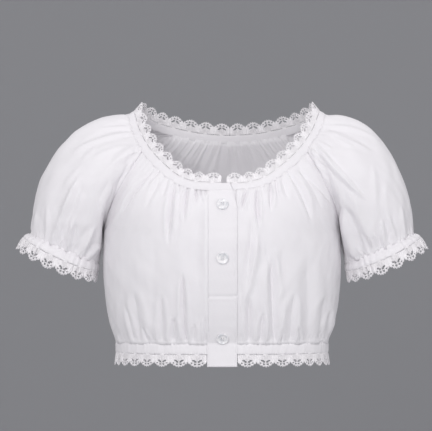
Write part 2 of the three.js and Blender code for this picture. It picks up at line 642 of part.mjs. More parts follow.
function placketWall(leftX, rightXAt, layer) {
  const place = (share, row) => {
    const { point, out } = placketPlace(lerp(leftX, rightXAt(row.rise), share), row);
    return { point: point.addScaledVector(out, layer), out };
  };
  return wallFrom(steps(PLACKET_COLUMNS), PLACKET_ROWS, CLOTH, place, false);
}
const PLACKET_LAYER = (CLOTH + GAP) / 2;
const UNDER_SHORT = 2; // the lower strip stops this far short of the right front
const leaningEdge = (rise) =>
  lerp(PLACKET_HALF, BINDING_LAP.overBottom, smooth(rise, CORNER_LEAN.from, CORNER_LEAN.to));
add("placket_top", bandCotton, placketWall(GAP - PLACKET_SIDE, leaningEdge, PLACKET_LAYER), 1);
const underWall = placketWall(UNDER_SHORT - PLACKET_SIDE, () => PLACKET_SIDE - GAP, -PLACKET_LAYER);
add("placket_under", bandCotton, underWall, 1);

// The hem, once round from the left placket edge to the right one. level is the depth below the gathers.
const HEM = FRONT_SECTIONS[0];
const hemStart = Math.asin((PLACKET_SIDE + GAP) / HEM.edgeX) / (2 * Math.PI);
function hemPlace(share, depth, spread) {
  const angle = 2 * Math.PI * lerp(hemStart, 1 - hemStart, share);
  const inFront = Math.cos(angle) > 0;
  const centreY = inFront ? HEM.centreY : -BACK_SECTIONS[0].centreY;
  const sideways = inFront ? Math.asin(Math.min(1, Math.abs(Math.sin(angle)))) / (Math.PI / 2) : 1;
  const z = lerp(HEM.centreZ, HEM.edgeZ, sideways ** SIDE_DROP) - depth;
  const out = vec(Math.sin(angle) / HEM.edgeX, Math.cos(angle) / centreY, 0).normalize();
  const point = vec(HEM.edgeX * Math.sin(angle), centreY * Math.cos(angle), z).addScaledVector(out, spread);
  return { point, out };
}
const hemTurns = steps(HEM_BAND_STEPS).reverse();
const hemBand = wallFrom(
  hemTurns, [GAP / 2, HEM_BAND_HEIGHT - GAP], BAND, (share, depth) => hemPlace(share, depth, 0), false,
);
add("hem_band", bandCotton, hemBand, 1);

// The outward direction where the cuff lace hangs from the cuff band.
const cuffFold = (round) => between(cuffFrame(round, 0, 1).out, cuffFrame(round, 1, 2).out);

// The cuff bands, elastic in a folded strip.
const cuffBand = wallFrom(
  steps(CUFF_BAND_STEPS).slice(0, -1).reverse(),
  [0, 1],
  BAND,
  (round, level) => {
    const { down } = cuffFrame(round, 0, 1);
    const point = cuffRing(round, level).addScaledVector(down, level === 0 ? GAP : 0);
    return { point, out: level === 0 ? cuffOut(round) : cuffFold(round) };
  },
  true,
);
add("cuff_left", bandCotton, cuffBand, 1);
add("cuff_right", bandCotton, cuffBand, -1);

// A strip of scalloped lace. place(share, v) gives the point and outward direction at a share of the
// strips length and a height v from its stitched edge, 0, to its tips, 1. upward is false where the lace
// hangs down.
const LACE_FACES = THREE.ShapeUtils.triangulateShape(
  SCALLOP_EDGE.map(({ u, v }) => new THREE.Vector2(u, v)),
  SCALLOP_EYELETS.map((eyelet) => eyelet.map(({ u, v }) => new THREE.Vector2(u, v))),
);
function laceStrip(scallops, place, upward) {
  const triangles = [];
  for (let i = 0; i < scallops; i++) {
    const shell = (offset) => ({ u, v }) => {
      const { point, out } = place((i + u) / scallops, v);
      return point.addScaledVector(out, offset);
    };
    const flat = [...SCALLOP_EDGE, ...SCALLOP_EYELETS.flat()];
    const outer = flat.map(shell(LACE / 2));
    const inner = flat.map(shell(-LACE / 2));
    for (const [a, b, c] of LACE_FACES) {
      triangles.push([outer[a], outer[b], outer[c]], [inner[a], inner[c], inner[b]]);
    }
    const rim = (a, b) => triangles.push([outer[a], inner[a], inner[b]], [outer[a], inner[b], outer[b]]);
    const corners = SCALLOP_EDGE.length;
    SCALLOP_EDGE.forEach((corner, a) => {
      const b = (a + 1) % corners;
      const onLeft = corner.u === 0 && SCALLOP_EDGE[b].u === 0;
      const onRight = corner.u === 1 && SCALLOP_EDGE[b].u === 1;
      if ((onLeft && i > 0) || (onRight && i < scallops - 1)) return;
      rim(a, b);
    });
    let first = corners;
    for (const eyelet of SCALLOP_EYELETS) {
      eyelet.forEach((_, k) => rim(first + k, first + ((k + 1) % eyelet.length)));
      first += eyelet.length;
    }
  }
  return upward ? triangles : triangles.map(([a, b, c]) => [a, c, b]);
}

// The neck lace, sewn to the top of the binding in two lengths that meet at centre back.
function neckLacePlace(turn, v) {
  const seam = bindingPlace(turn, 1).point.addScaledVector(neckFrame(turn, "lean").up, LACE_GAP);
  const { up, out } = neckFrame(turn, "laceLean");
  return { point: seam.addScaledVector(up, v * LACE_HEIGHT), out };
}
const backGap = 0.0004; // of the neckline, between the two lengths
const laceLeft = [neckAlongAtX(LACE_ENDS.left), 0.5 - backGap];
const laceRight = [0.5 + backGap, 1 - neckAlongAtX(LACE_ENDS.right)];
const neckLace = ([from, to]) =>
  laceStrip(SCALLOPS.neckHalf, (share, v) => neckLacePlace(lerp(from, to, share), v), true);
add("neck_lace_left", laceCotton, neckLace(laceLeft), 1);
add("neck_lace_right", laceCotton, neckLace(laceRight), 1);

// The hem lace, in two lengths that meet at centre back.
function hemLace(from, to) {
  const place = (share, v) =>
    hemPlace(lerp(from, to, share), lerp(HEM_BAND_HEIGHT, PLACKET_FOOT, v), HEM_FLARE * v);
  return laceStrip(SCALLOPS.hemHalf, place, false);
}
add("hem_lace_left", laceCotton, hemLace(0, 0.5 - backGap), 1);
add("hem_lace_right", laceCotton, hemLace(0.5 + backGap, 1), 1);

// The cuff lace, in a front and a back length.
function cuffLace(from, to) {
  const place = (share, v) => {
    const round = lerp(from, to, share);
    const { down, out } = cuffFrame(round, 1, 2);
    const point = cuffRing(round, 1 + v).addScaledVector(down, LACE_GAP * (1 - v));
    return { point, out: v === 0 ? cuffFold(round) : out };
  };
  return laceStrip(SCALLOPS.cuffHalf, place, false);
}
const cuffSplit = 0.001;
const cuffLaceFront = cuffLace(cuffSplit, 0.5 - cuffSplit);
const cuffLaceBack = cuffLace(0.5 + cuffSplit, 1 - cuffSplit);
add("cuff_lace_left_front", laceCotton, cuffLaceFront, 1);
add("cuff_lace_left_back", laceCotton, cuffLaceBack, 1);
add("cuff_lace_right_front", laceCotton, cuffLaceFront, -1);
add("cuff_lace_right_back", laceCotton, cuffLaceBack, -1);

// A pearl button: a disc turned with a raised rim and a dished face, sewn flat on the top placket.
const BUTTON_PROFILE = [
  { out: 0, up: 0 },
  { out: 0.86, up: 0 },
  { out: 1, up: 0.3 },
  { out: 1, up: 0.75 },
  { out: 0.9, up: 1 },
  { out: 0.78, up: 0.92 },
  { out: 0.64, up: 0.66 },
  { out: 0, up: 0.62 },
];
function buttonAt(height) {
  let [low, high] = [0, 1];
  for (let i = 0; i < 30; i++) {
    const middle = (low + high) / 2;
    if (placketPlace(0, { rise: middle, drop: 0 }).point.z < height) low = middle;
    else high = middle;
  }
  const { point, out } = placketPlace(BUTTON.across, { rise: low, drop: 0 });
  const seat = point.addScaledVector(out, PLACKET_LAYER + CLOTH / 2 + GAP);
  const turnTo = new THREE.Quaternion().setFromUnitVectors(vec(0, 0, 1), out);
  const ring = ({ out: radius, up }) =>
    Array.from({ length: BUTTON.segments }, (_, i) => {
      const angle = (2 * Math.PI * i) / BUTTON.segments;
      const r = radius * BUTTON.radius;
      const corner = vec(r * Math.cos(angle), r * Math.sin(angle), up * BUTTON.thick);
      return corner.applyQuaternion(turnTo).add(seat);
    });
  const rings = BUTTON_PROFILE.map(ring);
  const triangles = [];
  for (let k = 0; k < rings.length - 1; k++) {
    for (let i = 0; i < BUTTON.segments; i++) {
      const j = (i + 1) % BUTTON.segments;
      const [a, b, c, d] = [rings[k][i], rings[k][j], rings[k + 1][j], rings[k + 1][i]];
      if (k > 0) triangles.push([a, b, c]);
      if (k < rings.length - 2) triangles.push([a, c, d]);
    }
  }
  return triangles;
}
for (const [place, height] of Object.entries(BUTTON_HEIGHTS)) {
  add(`button_${place}`, pearl, buttonAt(height), 1);
}

export default blouse;
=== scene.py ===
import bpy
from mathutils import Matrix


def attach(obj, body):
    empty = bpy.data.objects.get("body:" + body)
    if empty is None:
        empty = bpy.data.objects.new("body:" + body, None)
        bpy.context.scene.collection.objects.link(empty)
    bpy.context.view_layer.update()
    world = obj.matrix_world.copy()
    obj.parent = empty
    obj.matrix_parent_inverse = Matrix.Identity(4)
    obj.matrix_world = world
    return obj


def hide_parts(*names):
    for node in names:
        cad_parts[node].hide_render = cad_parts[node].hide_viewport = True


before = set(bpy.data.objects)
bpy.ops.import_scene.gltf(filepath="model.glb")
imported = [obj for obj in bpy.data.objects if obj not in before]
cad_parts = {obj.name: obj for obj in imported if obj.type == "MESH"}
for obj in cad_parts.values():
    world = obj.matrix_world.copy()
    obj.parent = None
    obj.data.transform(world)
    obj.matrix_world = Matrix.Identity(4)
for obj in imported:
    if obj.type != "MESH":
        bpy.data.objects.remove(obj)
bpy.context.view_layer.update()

import math

import bpy
import numpy as np
from mathutils import Matrix, Vector

# The camera stands three metres in front, level with the middle of the blouse and a little to its left, as
# the photograph was taken.
EYE = (-0.0083, -3.0, -0.140)
PICTURE_WIDE = 0.5962  # metres across the picture at three metres
bpy.ops.object.camera_add(location=EYE, rotation=(math.radians(90), 0, 0))
camera = bpy.context.object
camera.name = "camera"
camera.data.sensor_width = 36
camera.data.lens = camera.data.sensor_width * -EYE[1] / PICTURE_WIDE
camera.data.clip_end = 20
bpy.context.scene.camera = camera
bpy.context.scene.view_settings.view_transform = "Standard"


# The back: one piece of plain white cotton, gathered by hand between the neck binding and the hem band and
# left full, so that it stands away from the wearer in soft upright folds.
def columns(names, *rows):
    """A table with named columns."""
    return dict(zip(names.split(), np.array(rows, float).T))


def smooth(value, low, high):
    k = np.clip((value - low) / (high - low), 0, 1)
    return k * k * (3 - 2 * k)


def mix(a, b, k):
    return a + (b - a) * k


def unit(v):
    return v / np.linalg.norm(v, axis=-1, keepdims=True)


def read(table, key, at):
    """The other columns of a table between its rows, along a smooth curve that never overshoots them."""
    xs = table[key]
    i = np.clip(np.searchsorted(xs, at, side="right") - 1, 0, len(xs) - 2)
    span = xs[i + 1] - xs[i]
    k = np.clip((at - xs[i]) / span, 0, 1)
    found = {}
    for name, v in table.items():
        if name == key:
            continue
        rise = np.diff(v) / np.diff(xs)
        both = rise[:-1] * rise[1:]
        total = np.where(both > 0, rise[:-1] + rise[1:], 1)
        slope = np.concatenate([rise[:1], np.where(both > 0, 2 * both / total, 0), rise[-1:]])
        found[name] = (v[i] * (1 + 2 * k) * (1 - k) ** 2 + slope[i] * span * k * (1 - k) ** 2
                       + v[i + 1] * k * k * (3 - 2 * k) + slope[i + 1] * span * k * k * (k - 1))
    return found


# The neckline seam from centre front over the wearer's left shoulder to centre back, in millimetres, and
# the angles by which binding and lace fall inwards from upright.
NECKLINE = columns(
    "x y z lean lace",
    (0, -113, -107.5, 20, 36),
    (32, -110.5, -106.3, 22, 36),
    (57, -103, -100, 28, 38),
    (89, -82, -78, 36, 40),
    (113, -53, -53, 44, 42),
    (130, -20, -25, 52, 42),
    (138, 8, -2, 56, 40),
    (128, 36, -8, 44, 28),
    (106, 57, -20, 26, 14),
    (80, 69.5, -28, 14, 7),
    (38, 78, -36, 8, 4),
    (0, 80, -38.4, 6, 3),
)
steps_along = np.linalg.norm(np.diff([NECKLINE["x"], NECKLINE["y"], NECKLINE["z"]]), axis=0)
NECK_LENGTH = 2 * steps_along.sum()
half_along = np.concatenate([[0], np.cumsum(steps_along)]) / NECK_LENGTH
turns = {"along": np.concatenate([-half_along[:0:-1], half_along, 1 - half_along[-2::-1],
                                  1 + half_along[1:4]])}
for name, v in NECKLINE.items():
    mirrored = -v if name == "x" else v
    turns[name] = np.concatenate([mirrored[:0:-1], v, mirrored[-2::-1], v[1:4]])
FRONT_RAGLAN, BACK_RAGLAN = half_along[4], half_along[9]


def neck_point(along):
    at = read(turns, "along", np.asarray(along, float))
    return np.stack([at["x"], at["y"], at["z"]], -1)


def neck_frame(along, leaning):
    """Up the binding or the lace, and out of the blouse, at a place along the neckline."""
    tangent = unit(neck_point(along + 0.002) - neck_point(along - 0.002))
    inward = unit(np.stack([-tangent[..., 1], tangent[..., 0], 0 * tangent[..., 0]], -1))
    upright = unit(np.cross(tangent, inward))
    upright *= np.sign(upright[..., 2:])
    lean = np.radians(read(turns, "along", np.asarray(along, float))[leaning])[..., None]
    up = unit(upright * np.cos(lean) + inward * np.sin(lean))
    return up, unit(np.cross(tangent, up))


def section_point(section, share):
    turn = np.radians(section["turn"])
    bow = (np.cos(share * turn) - np.cos(turn)) / (1 - np.cos(turn))
    return np.stack([
        section["edge_x"] * np.sin(share * turn) / np.sin(turn),
        section["edge_y"] + (section["centre_y"] - section["edge_y"]) * bow,
        section["centre_z"] + (section["edge_z"] - section["centre_z"]) * share ** 2.2,
    ], -1)


BACK_SECTIONS = columns(
    "rise centre_y centre_z edge_x edge_y edge_z turn",
    (0, 88, -314, 146, 0, -314, 90),
    (0.15, 93, -282, 156, 0, -283, 90),
    (0.35, 99, -232, 162.5, 0, -236, 90),
    (0.55, 104, -176, 164.5, 0, -165, 90),
    (0.66, 105, -146, 160, 27, -150, 84),
    (0.78, 102, -112, 147, 58, -121, 74),
    (0.89, 93, -75, 120, 76, -78, 64),
    (1, 80, -38.4, 80, 69.5, -28, 50),
)
BACK_ROWS = np.array([0.55, 0.68, 0.8, 0.9, 0.96, 1])


def panel(sections, rise, share, along, free):
    """Points of a panel without its folds: a share of the way round its section at a rise, and above the
    free part drawn to their place along the neckline."""
    top = {name: v[-1] for name, v in sections.items()}
    section = read(sections, "rise", rise)
    drift = neck_point(along) - section_point(top, share(top))
    return section_point(section, share(section)) + drift * smooth(rise, free, 1)[..., None]


def hump(value, middle, width):
    return np.exp(-((value - middle) / width) ** 2)


def crease(off, width):
    """Across a crease: a trough with a fairly sharp bottom and a low swelling on both sides."""
    k = abs(off) / width
    return 0.42 * hump(k, 2.1, 1.1) - np.exp(0.3 - np.sqrt(k * k + 0.09) * 1.3)


def gathers(place, distance, rows):
    """Gathers along an edge, all in millimetres: each starts in the seam at its own place and leans,
    widens and fades away from it."""
    height = 0 * place
    for at, lean, width, depth, reach in zip(*rows.values()):
        off = place - at - lean * distance
        strength = (0.45 + 0.55 * smooth(distance, 0, 7)) * np.exp(-(distance / reach) ** 1.6)
        height += depth * strength * crease(off, width * (0.6 + 1.2 * distance / reach))
    return height


def folds(a, b, size, rows):
    """Long folds between two places on the cloth, deepest in their middle."""
    height = 0 * a
    for a0, b0, a1, b1, width, depth in zip(*rows.values()):
        start, way = np.array([a0, b0]) * size, np.array([a1 - a0, b1 - b0]) * size
        length = np.linalg.norm(way)
        way = way / length
        dx, dy = a * size[0] - start[0], b * size[1] - start[1]
        t = (dx * way[0] + dy * way[1]) / length
        bend = 0.035 * length * np.sin(np.pi * np.clip(t, 0, 1)) * (1 if depth > 1.5 else -1)
        off = dx * way[1] - dy * way[0] - bend
        taper = smooth(t, -0.08, 0.3) * (1 - smooth(t, 0.6, 1.08))
        height = height + depth * taper * crease(off, width * (1.35 - 0.5 * np.clip(t, 0, 1)))
    return height


PICTURE_PIXELS = 432
PICTURE_MIDDLE = (216, 215.5)
PIXEL = 1000 * PICTURE_WIDE / PICTURE_PIXELS  # millimetres to a pixel at three metres


def strokes(points, rows):
    """Creases seen from the front, each from x0 y0 to x1 y1 in pixels of the photograph through a
    sideways bow, with its width in pixels and its depth in millimetres. A ridge has a negative depth. The
    trough lies a little to the right of that line, so that its side in the shade falls on it."""
    eye_x, eye_y, eye_z = (1000 * metres for metres in EYE)
    nearer = PIXEL * (eye_y - points[..., 1]) / eye_y
    px = PICTURE_MIDDLE[0] + (points[..., 0] - eye_x) / nearer
    py = PICTURE_MIDDLE[1] - (points[..., 2] - eye_z) / nearer
    height = 0 * px
    for x0, y0, x1, y1, bow, width, depth in zip(*rows.values()):
        dx, dy = x1 - x0, y1 - y0
        length = math.hypot(dx, dy)
        t = ((px - x0) * dx + (py - y0) * dy) / length ** 2
        k = np.clip(t, 0, 1)
        off = ((px - x0 - 0.45 * width) * dy - (py - y0) * dx) / length - 4 * bow * k * (1 - k)
        taper = smooth(t, -0.04, 0.22) * (1 - smooth(t, 0.72, 1.08))
        height += depth * taper * crease(off, width * (0.75 + 0.5 * np.sin(np.pi * k)))
    return height


def puckers(place, distance, length, seed):
    """The small uneven puckers right at a gathered seam."""
    chance = np.random.default_rng(seed)
    height = 0 * place
    at = 0.0
    while at < length:
        width, depth, reach = chance.uniform(1.1, 2.0), chance.uniform(0.3, 1.1), chance.uniform(4, 13)
        off = place - at - chance.normal(0, 0.12) * distance
        width = width * (0.7 + distance / reach / 2)
        height += depth * np.exp(-(distance / reach) ** 1.5) * crease(off, width)
        at += chance.uniform(3.5, 8.5)
    return height


def crumple(a, b, size, seed, height):
    """The slight unevenness of washed cotton."""
    chance = np.random.default_rng(seed)
    x, y = a * size[0], b * size[1]
    total = 0 * a
    for _ in range(26):
        wave = chance.uniform(12, 52)
        angle = chance.normal(0, 0.55)
        across = x * np.cos(angle) + y * np.sin(angle)
        total += wave / 52 * np.sin(2 * np.pi * (across / wave + chance.random()))
    return height * total / 3


def settled(points):
    """The neck sits a little to the wearer's left of the hem."""
    height = smooth(points[..., 2], -170, -60)
    middle = 1 - smooth(abs(points[..., 0]), 140, 262)
    moved = points.copy()
    moved[..., 0] += 0.058 * (points[..., 1] + 113) * height * middle
    return moved


def pick(*pieces):
    """Selects these pieces alone, the first of them active."""
    bpy.ops.object.select_all(action="DESELECT")
    for piece in pieces:
        piece.select_set(True)
    if pieces:
        bpy.context.view_layer.objects.active = pieces[0]


def finish_mesh(piece):
    """Turns the faces outwards and shades them smooth."""
    pick(piece)
    bpy.ops.object.mode_set(mode="EDIT")
    bpy.ops.mesh.select_all(action="SELECT")
    bpy.ops.mesh.normals_make_consistent(inside=False)
    bpy.ops.object.mode_set(mode="OBJECT")
    bpy.ops.object.shade_smooth()


def lay(name, across, along, place, wall, closed=False):
    """A sheet of cloth: a grid laid on a surface by place(a, b), which also gives its size flat, then
    thickened. A closed one is joined into a tube along its first and last edges."""
    pick()
    bpy.ops.mesh.primitive_grid_add(x_subdivisions=across, y_subdivisions=along, size=2)
    piece = bpy.context.object
    piece.name = piece.data.name = name
    flat = np.empty(3 * len(piece.data.vertices))
    piece.data.vertices.foreach_get("co", flat)
    a, b = ((flat.reshape(along + 1, across + 1, 3)[..., i] + 1) / 2 for i in (0, 1))
    points, size = place(a, b)
    piece.data.vertices.foreach_set("co", (settled(points) * 0.001).ravel())
    corner = np.empty(len(piece.data.loops), int)
    piece.data.loops.foreach_get("vertex_index", corner)
    cloth = np.stack([a * size[0], b * size[1]], -1).reshape(-1, 2)[corner] * 0.001
    piece.data.uv_layers.active.data.foreach_set("uv", cloth.ravel())
    if closed:
        bpy.ops.object.mode_set(mode="EDIT")
        bpy.ops.mesh.select_all(action="SELECT")
        bpy.ops.mesh.remove_doubles(threshold=1e-6)
        bpy.ops.object.mode_set(mode="OBJECT")
    if wall:
        shell = piece.modifiers.new("wall", "SOLIDIFY")
        shell.thickness = wall * 0.001
        shell.offset = 0
        bpy.ops.object.modifier_apply(modifier=shell.name)
    finish_mesh(piece)
    return piece


def risen(points, height, flip, wrap=False):
    """Points of a surface moved out along its normals. wrap stands for a tube."""
    if wrap:
        padded = np.concatenate([points[:, -3:-1], points, points[:, 1:3]], 1)
        du = np.gradient(padded, axis=1)[:, 2:-2]
    else:
        du = np.gradient(points, axis=1)
    out = unit(np.cross(du, np.gradient(points, axis=0))) * flip
    return points + out * height[..., None]


class Socket:
    """A shader output that can be added, multiplied and so on."""

    def __init__(self, tree, out):
        self.tree, self.out = tree, out

    def maths(self, operation, other=None, swap=False):
        """A Math node on this output and another value, swapped for a value that stands before it."""
        values = [self] if other is None else [other, self] if swap else [self, other]
        return node(self.tree, "ShaderNodeMath", {"operation": operation}, dict(enumerate(values)))

    def __add__(self, other):
        return self.maths("ADD", other)

    def __sub__(self, other):
        return self.maths("SUBTRACT", other)

    def __rsub__(self, other):
        return self.maths("SUBTRACT", other, swap=True)

    def __mul__(self, other):
        return self.maths("MULTIPLY", other)

    __radd__ = __add__
    __rmul__ = __mul__

    def sine(self):
        return self.maths("SINE")


def feed(tree, made, inputs):
    """Gives the inputs of a node their values or links, by name or number."""
    for name, value in inputs.items():
        if isinstance(value, Socket):
            tree.links.new(value.out, made.inputs[name])
        else:
            made.inputs[name].default_value = value


def node(tree, kind, settings, inputs, out=0):
    """A shader node of a type, its settings first, then the values or links of its inputs."""
    made = tree.nodes.new(kind)
    for name, value in settings.items():
        setattr(made, name, value)
    feed(tree, made, inputs)
    return Socket(tree, made.outputs[out])


def new_material(name):
    material = bpy.data.materials.new(name)
    material.use_nodes = True
    tree = material.node_tree
    return material, tree, tree.nodes["Principled BSDF"]


def between(tree, factor, shade, light):
    """A colour between two, by a factor."""
    colours = {0: factor, 6: (*shade, 1), 7: (*light, 1)}
    return node(tree, "ShaderNodeMix", {"data_type": "RGBA"}, colours, out=2)


def cloth_material(name, light, shade, pitch, relief):
    """Plain-woven cotton: threads over and under at their pitch in metres, slightly uneven in colour and
    slub."""
    material, tree, shader = new_material(name)
    cloth = node(tree, "ShaderNodeTexCoord", {}, {}, out="UV")
    u, v = (node(tree, "ShaderNodeSeparateXYZ", {}, {0: cloth}, out=axis) for axis in ("X", "Y"))
    turn = 2 * math.pi / pitch
    weave = (u * turn).sine() * (v * turn).sine()
    place = node(tree, "ShaderNodeTexCoord", {}, {}, out="Object")
    slub = node(tree, "ShaderNodeTexNoise", {}, {"Vector": place, "Scale": 900.0, "Detail": 2.0})
    cloud = node(tree, "ShaderNodeTexNoise", {}, {"Vector": place, "Scale": 22.0, "Detail": 3.0})
    threads = {"Strength": relief, "Distance": 0.0002, "Height": weave * 0.5 + slub}
    feed(tree, shader, {
        "Base Color": between(tree, cloud * 0.7 + slub * 0.3, shade, light),
        "Normal": node(tree, "ShaderNodeBump", {}, threads),
        "Roughness": 0.88,
        "Specular IOR Level": 0.25,
        "Sheen Weight": 0.15,
        "Sheen Roughness": 0.6,
    })
    return material


def dress(piece, material, slot, *nodes):
    piece.data.materials.clear()
    piece.data.materials.append(material)
    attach(piece, "root")
    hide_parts(*nodes)


cotton = cloth_material("cotton", (0.868, 0.85, 0.872), (0.81, 0.79, 0.815), 0.0009, 0.25)
BACK_NECK = columns(
    "at lean width depth reach",
    (14, 0.05, 3, 1.6, 30), (31, -0.04, 3.6, 2, 62), (47, 0.08, 2.6, 1.4, 34), (68, 0.02, 3.4, 1.9, 72),
    (83, -0.06, 2.6, 1.3, 30), (102, 0.04, 3.4, 2, 80), (121, 0.03, 2.8, 1.4, 38),
    (139, -0.05, 3.6, 1.9, 66), (160, 0.02, 2.8, 1.5, 44), (178, -0.02, 3.6, 2.1, 88),
    (195, 0.05, 2.6, 1.3, 32), (214, -0.04, 3.4, 1.9, 64), (233, 0.05, 2.8, 1.5, 40), (250, 0, 3.6, 2, 76),
    (271, -0.06, 2.8, 1.4, 34), (292, 0.05, 3.4, 1.8, 58), (313, -0.04, 3, 1.5, 32),
)
BACK_HEM = columns(
    "at lean width depth reach",
    (10, 0.1, 3, 1.6, 36), (27, -0.05, 3.6, 2, 60), (45, 0.06, 2.8, 1.5, 34), (66, 0, 3.8, 2.2, 84),
    (84, 0.08, 2.8, 1.4, 36), (101, -0.06, 3.4, 1.9, 58), (123, 0.04, 3, 1.6, 40), (142, 0, 3.8, 2.2, 90),
    (163, -0.05, 2.8, 1.5, 36), (181, 0.06, 3.4, 1.9, 62), (203, 0, 3, 1.6, 44), (221, -0.08, 3.8, 2.1, 80),
    (243, 0.05, 2.8, 1.4, 34), (262, 0, 3.4, 1.9, 60), (281, -0.06, 3, 1.5, 38), (301, 0.05, 3.6, 1.9, 54),
    (318, -0.1, 2.8, 1.5, 30),
)
BACK_FOLDS = columns(
    "a0 b0 a1 b1 width depth",
    (0.14, 0.92, 0.17, 0.5, 7, 1.9), (0.29, 0.96, 0.27, 0.45, 6, 1.7), (0.42, 0.95, 0.41, 0.3, 8, 2.2),
    (0.55, 0.97, 0.56, 0.5, 6, 1.6), (0.66, 0.96, 0.68, 0.38, 8, 2), (0.84, 0.9, 0.82, 0.48, 7, 1.8),
    (0.22, 0.04, 0.235, 0.48, 7, 1.9), (0.48, 0.04, 0.47, 0.4, 7, 1.7), (0.71, 0.05, 0.7, 0.5, 8, 2.1),
    (0.89, 0.06, 0.88, 0.4, 7, 1.6),
)
BACK_SIZE = (330.0, 285.0)  # across the gathered back, and from hem to neck
CLOTH = 0.7  # its thickness
EDGE = 2.6  # how far a sheet runs on into the band that holds it
SEAM = 0.9  # how deep the cloth dips at a seam


def seam_dip(distance):
    return -SEAM * hump(distance, 0, 2.2)


def lay_back(a, b):
    half = abs(2 * a - 1)
    points = panel(BACK_SECTIONS, b, lambda section: half, mix(0.5, BACK_RAGLAN, half), 0.55)
    points[..., 0] *= np.sign(a - 0.5)
    wide, high = BACK_SIZE
    height = 0.6 * gathers(a * wide, (1 - b) * high, BACK_NECK) + gathers(a * wide, b * high, BACK_HEM)
    height += folds(a, b, BACK_SIZE, BACK_FOLDS) + crumple(a, b, BACK_SIZE, 3, 0.35)
    side = (1 - half) * wide / 2
    points = risen(points, height * smooth(side, 0, 14) + seam_dip(side) - 0.5, -1)
    tuck = neck_frame(mix(0.5, BACK_RAGLAN, half[-1]), "lean")[0]
    tuck[..., 0] *= np.sign(a[-1] - 0.5)
    points[-1] += tuck * EDGE
    points[0, :, 2] -= EDGE
    return points, (wide * 1.35, high)


back = lay("cloth_back", 200, 80, lay_back, CLOTH)
dress(back, cotton, "cotton", "back")

# Both fronts: the same cotton, each gathered into the neck binding and the hem band from a little beside
# the placket to the raglan and side seams.
FRONT_SECTIONS = columns(
    "rise centre_y centre_z edge_x edge_y edge_z turn",
    (0, -101, -310.5, 146, 0, -314, 90),
    (0.12, -112, -286, 155, 0, -287, 90),
    (0.3, -124, -247, 161, 0, -252, 90),
    (0.46, -131, -210, 164, 0, -212, 90),
    (0.62, -133, -176, 164.5, 0, -165, 90),
    (0.72, -131, -157, 160, -27, -149, 82),
    (0.82, -127, -138, 151, -50, -122, 72),
    (0.91, -121, -122, 134, -61, -88, 62),
    (1, -113, -107.5, 113, -53, -53, 52),
)
FRONT_ROWS = np.array([0.62, 0.72, 0.82, 0.9, 0.96, 1])
PLACKET_SIDE = 20.4
FRONT_SIZE = (215.0, 235.0)  # across a gathered front, and from hem to neck
FRONT_NECK = 128.0  # across it at the neck


def along_at(x):
    """The place along the neckline in front at a distance from the middle."""
    return np.interp(x, NECKLINE["x"][:7], half_along[:7])


def share_at(section, x):
    turn = np.radians(section["turn"])
    return np.arcsin(x * np.sin(turn) / section["edge_x"]) / turn


PLACKET_TURN = along_at(PLACKET_SIDE)


def front_surface(across, rise):
    """The left front without its folds, from the placket to the side and from the hem to the neck."""
    def share(section):
        return mix(share_at(section, PLACKET_SIDE), 1, across)
    return panel(FRONT_SECTIONS, rise, share, mix(PLACKET_TURN, FRONT_RAGLAN, across), 0.62)


LEFT_STROKES = columns(
    "x0 y0 x1 y1 bow width depth",
    (248, 186, 241.5, 210, -1, 1.3, 3.2), (256.5, 185, 258.5, 226, -0.8, 1.4, 3.4),
    (260, 182, 260.5, 195, 0, 0.9, 1.6), (263, 181, 263, 194, 0, 0.9, 1.6),
    (269.5, 178, 270.5, 210, 0, 1.5, 3.3), (273.5, 176, 277, 196, 0, 1.2, 2.6),
    (280, 176, 287, 199, 0, 2, 2), (288, 174, 310, 220, 3, 1.9, 2.8), (299, 173, 320, 208, 2, 2.2, 1.6),
    (286, 171, 295, 185, 0, 1.1, 1.1), (294, 169, 330, 204, 2.5, 1.6, 2.4),
    (251, 216, 245.5, 296, 0.5, 2.2, 1.5), (257, 232, 239, 312, 2.5, 2.6, -2.2),
    (264, 242, 273, 304, 0, 3.5, 1.7), (271, 256, 273, 348, 0, 2.8, 3.8), (281, 248, 277, 294, 0, 4, 1.1),
    (249, 299, 249, 348, -1, 2.2, 2.8), (262.5, 312, 259, 348, 0, 1.8, 2.1),
    (293, 292, 289, 348, 0, 2.5, 2.3), (281, 328, 281.5, 348, 0, 1.2, 1.4), (305, 258, 307, 348, 0, 5.5, 2),
    (323, 296, 317, 348, 0, 3.4, 2.5), (329, 310, 327, 348, 0, 1.6, 1.5), (297, 326, 301, 348, 0, 1.2, 1.4),
    (268, 328, 270, 348, 0, 1.2, 1.2), (284, 296, 278, 346, 1, 2.2, -1.2),
)
RIGHT_STROKES = columns(
    "x0 y0 x1 y1 bow width depth",
    (151, 172, 120, 214, -3, 1.5, 2.4), (161, 169, 145, 185, -0.5, 1.2, 1.5),
    (159, 177, 145, 207, 0, 1.6, 1.4), (168, 177, 162, 197, 0, 1.3, 1.3),
    (174, 180, 167.5, 242, -1.5, 1.7, 2.6), (187.5, 182, 183, 221, -0.5, 1.5, 2.8),
    (195, 184, 196, 203, 0, 1.1, 2.4), (199, 185, 201, 197, 0, 0.9, 1.8),
    (203, 185, 207.5, 203, 0.5, 1.3, 3), (179, 180, 178, 194, 0, 1, 1.1),
    (182.5, 182, 182, 194, 0, 0.9, 0.9), (198, 212, 197, 292, -5, 6, 1.8),
    (182, 274, 185.5, 348, -1, 1.8, 2.8), (173, 316, 172, 348, 0, 2, 2.3),
    (160, 296, 161, 348, 0, 2.2, 1.8), (205, 316, 205, 348, 0, 1.3, 3), (132, 292, 138, 348, 1, 3.2, 1.9),
    (125, 306, 136, 348, 0, 1.4, 1.2), (142, 327, 149, 348, 0, 1.2, 1.4),
    (194, 324, 192.5, 348, 0, 1.6, 1.3), (150, 240, 148, 318, 2, 6, 1), (177, 190, 174, 236, -1, 1.6, -0.9),
)


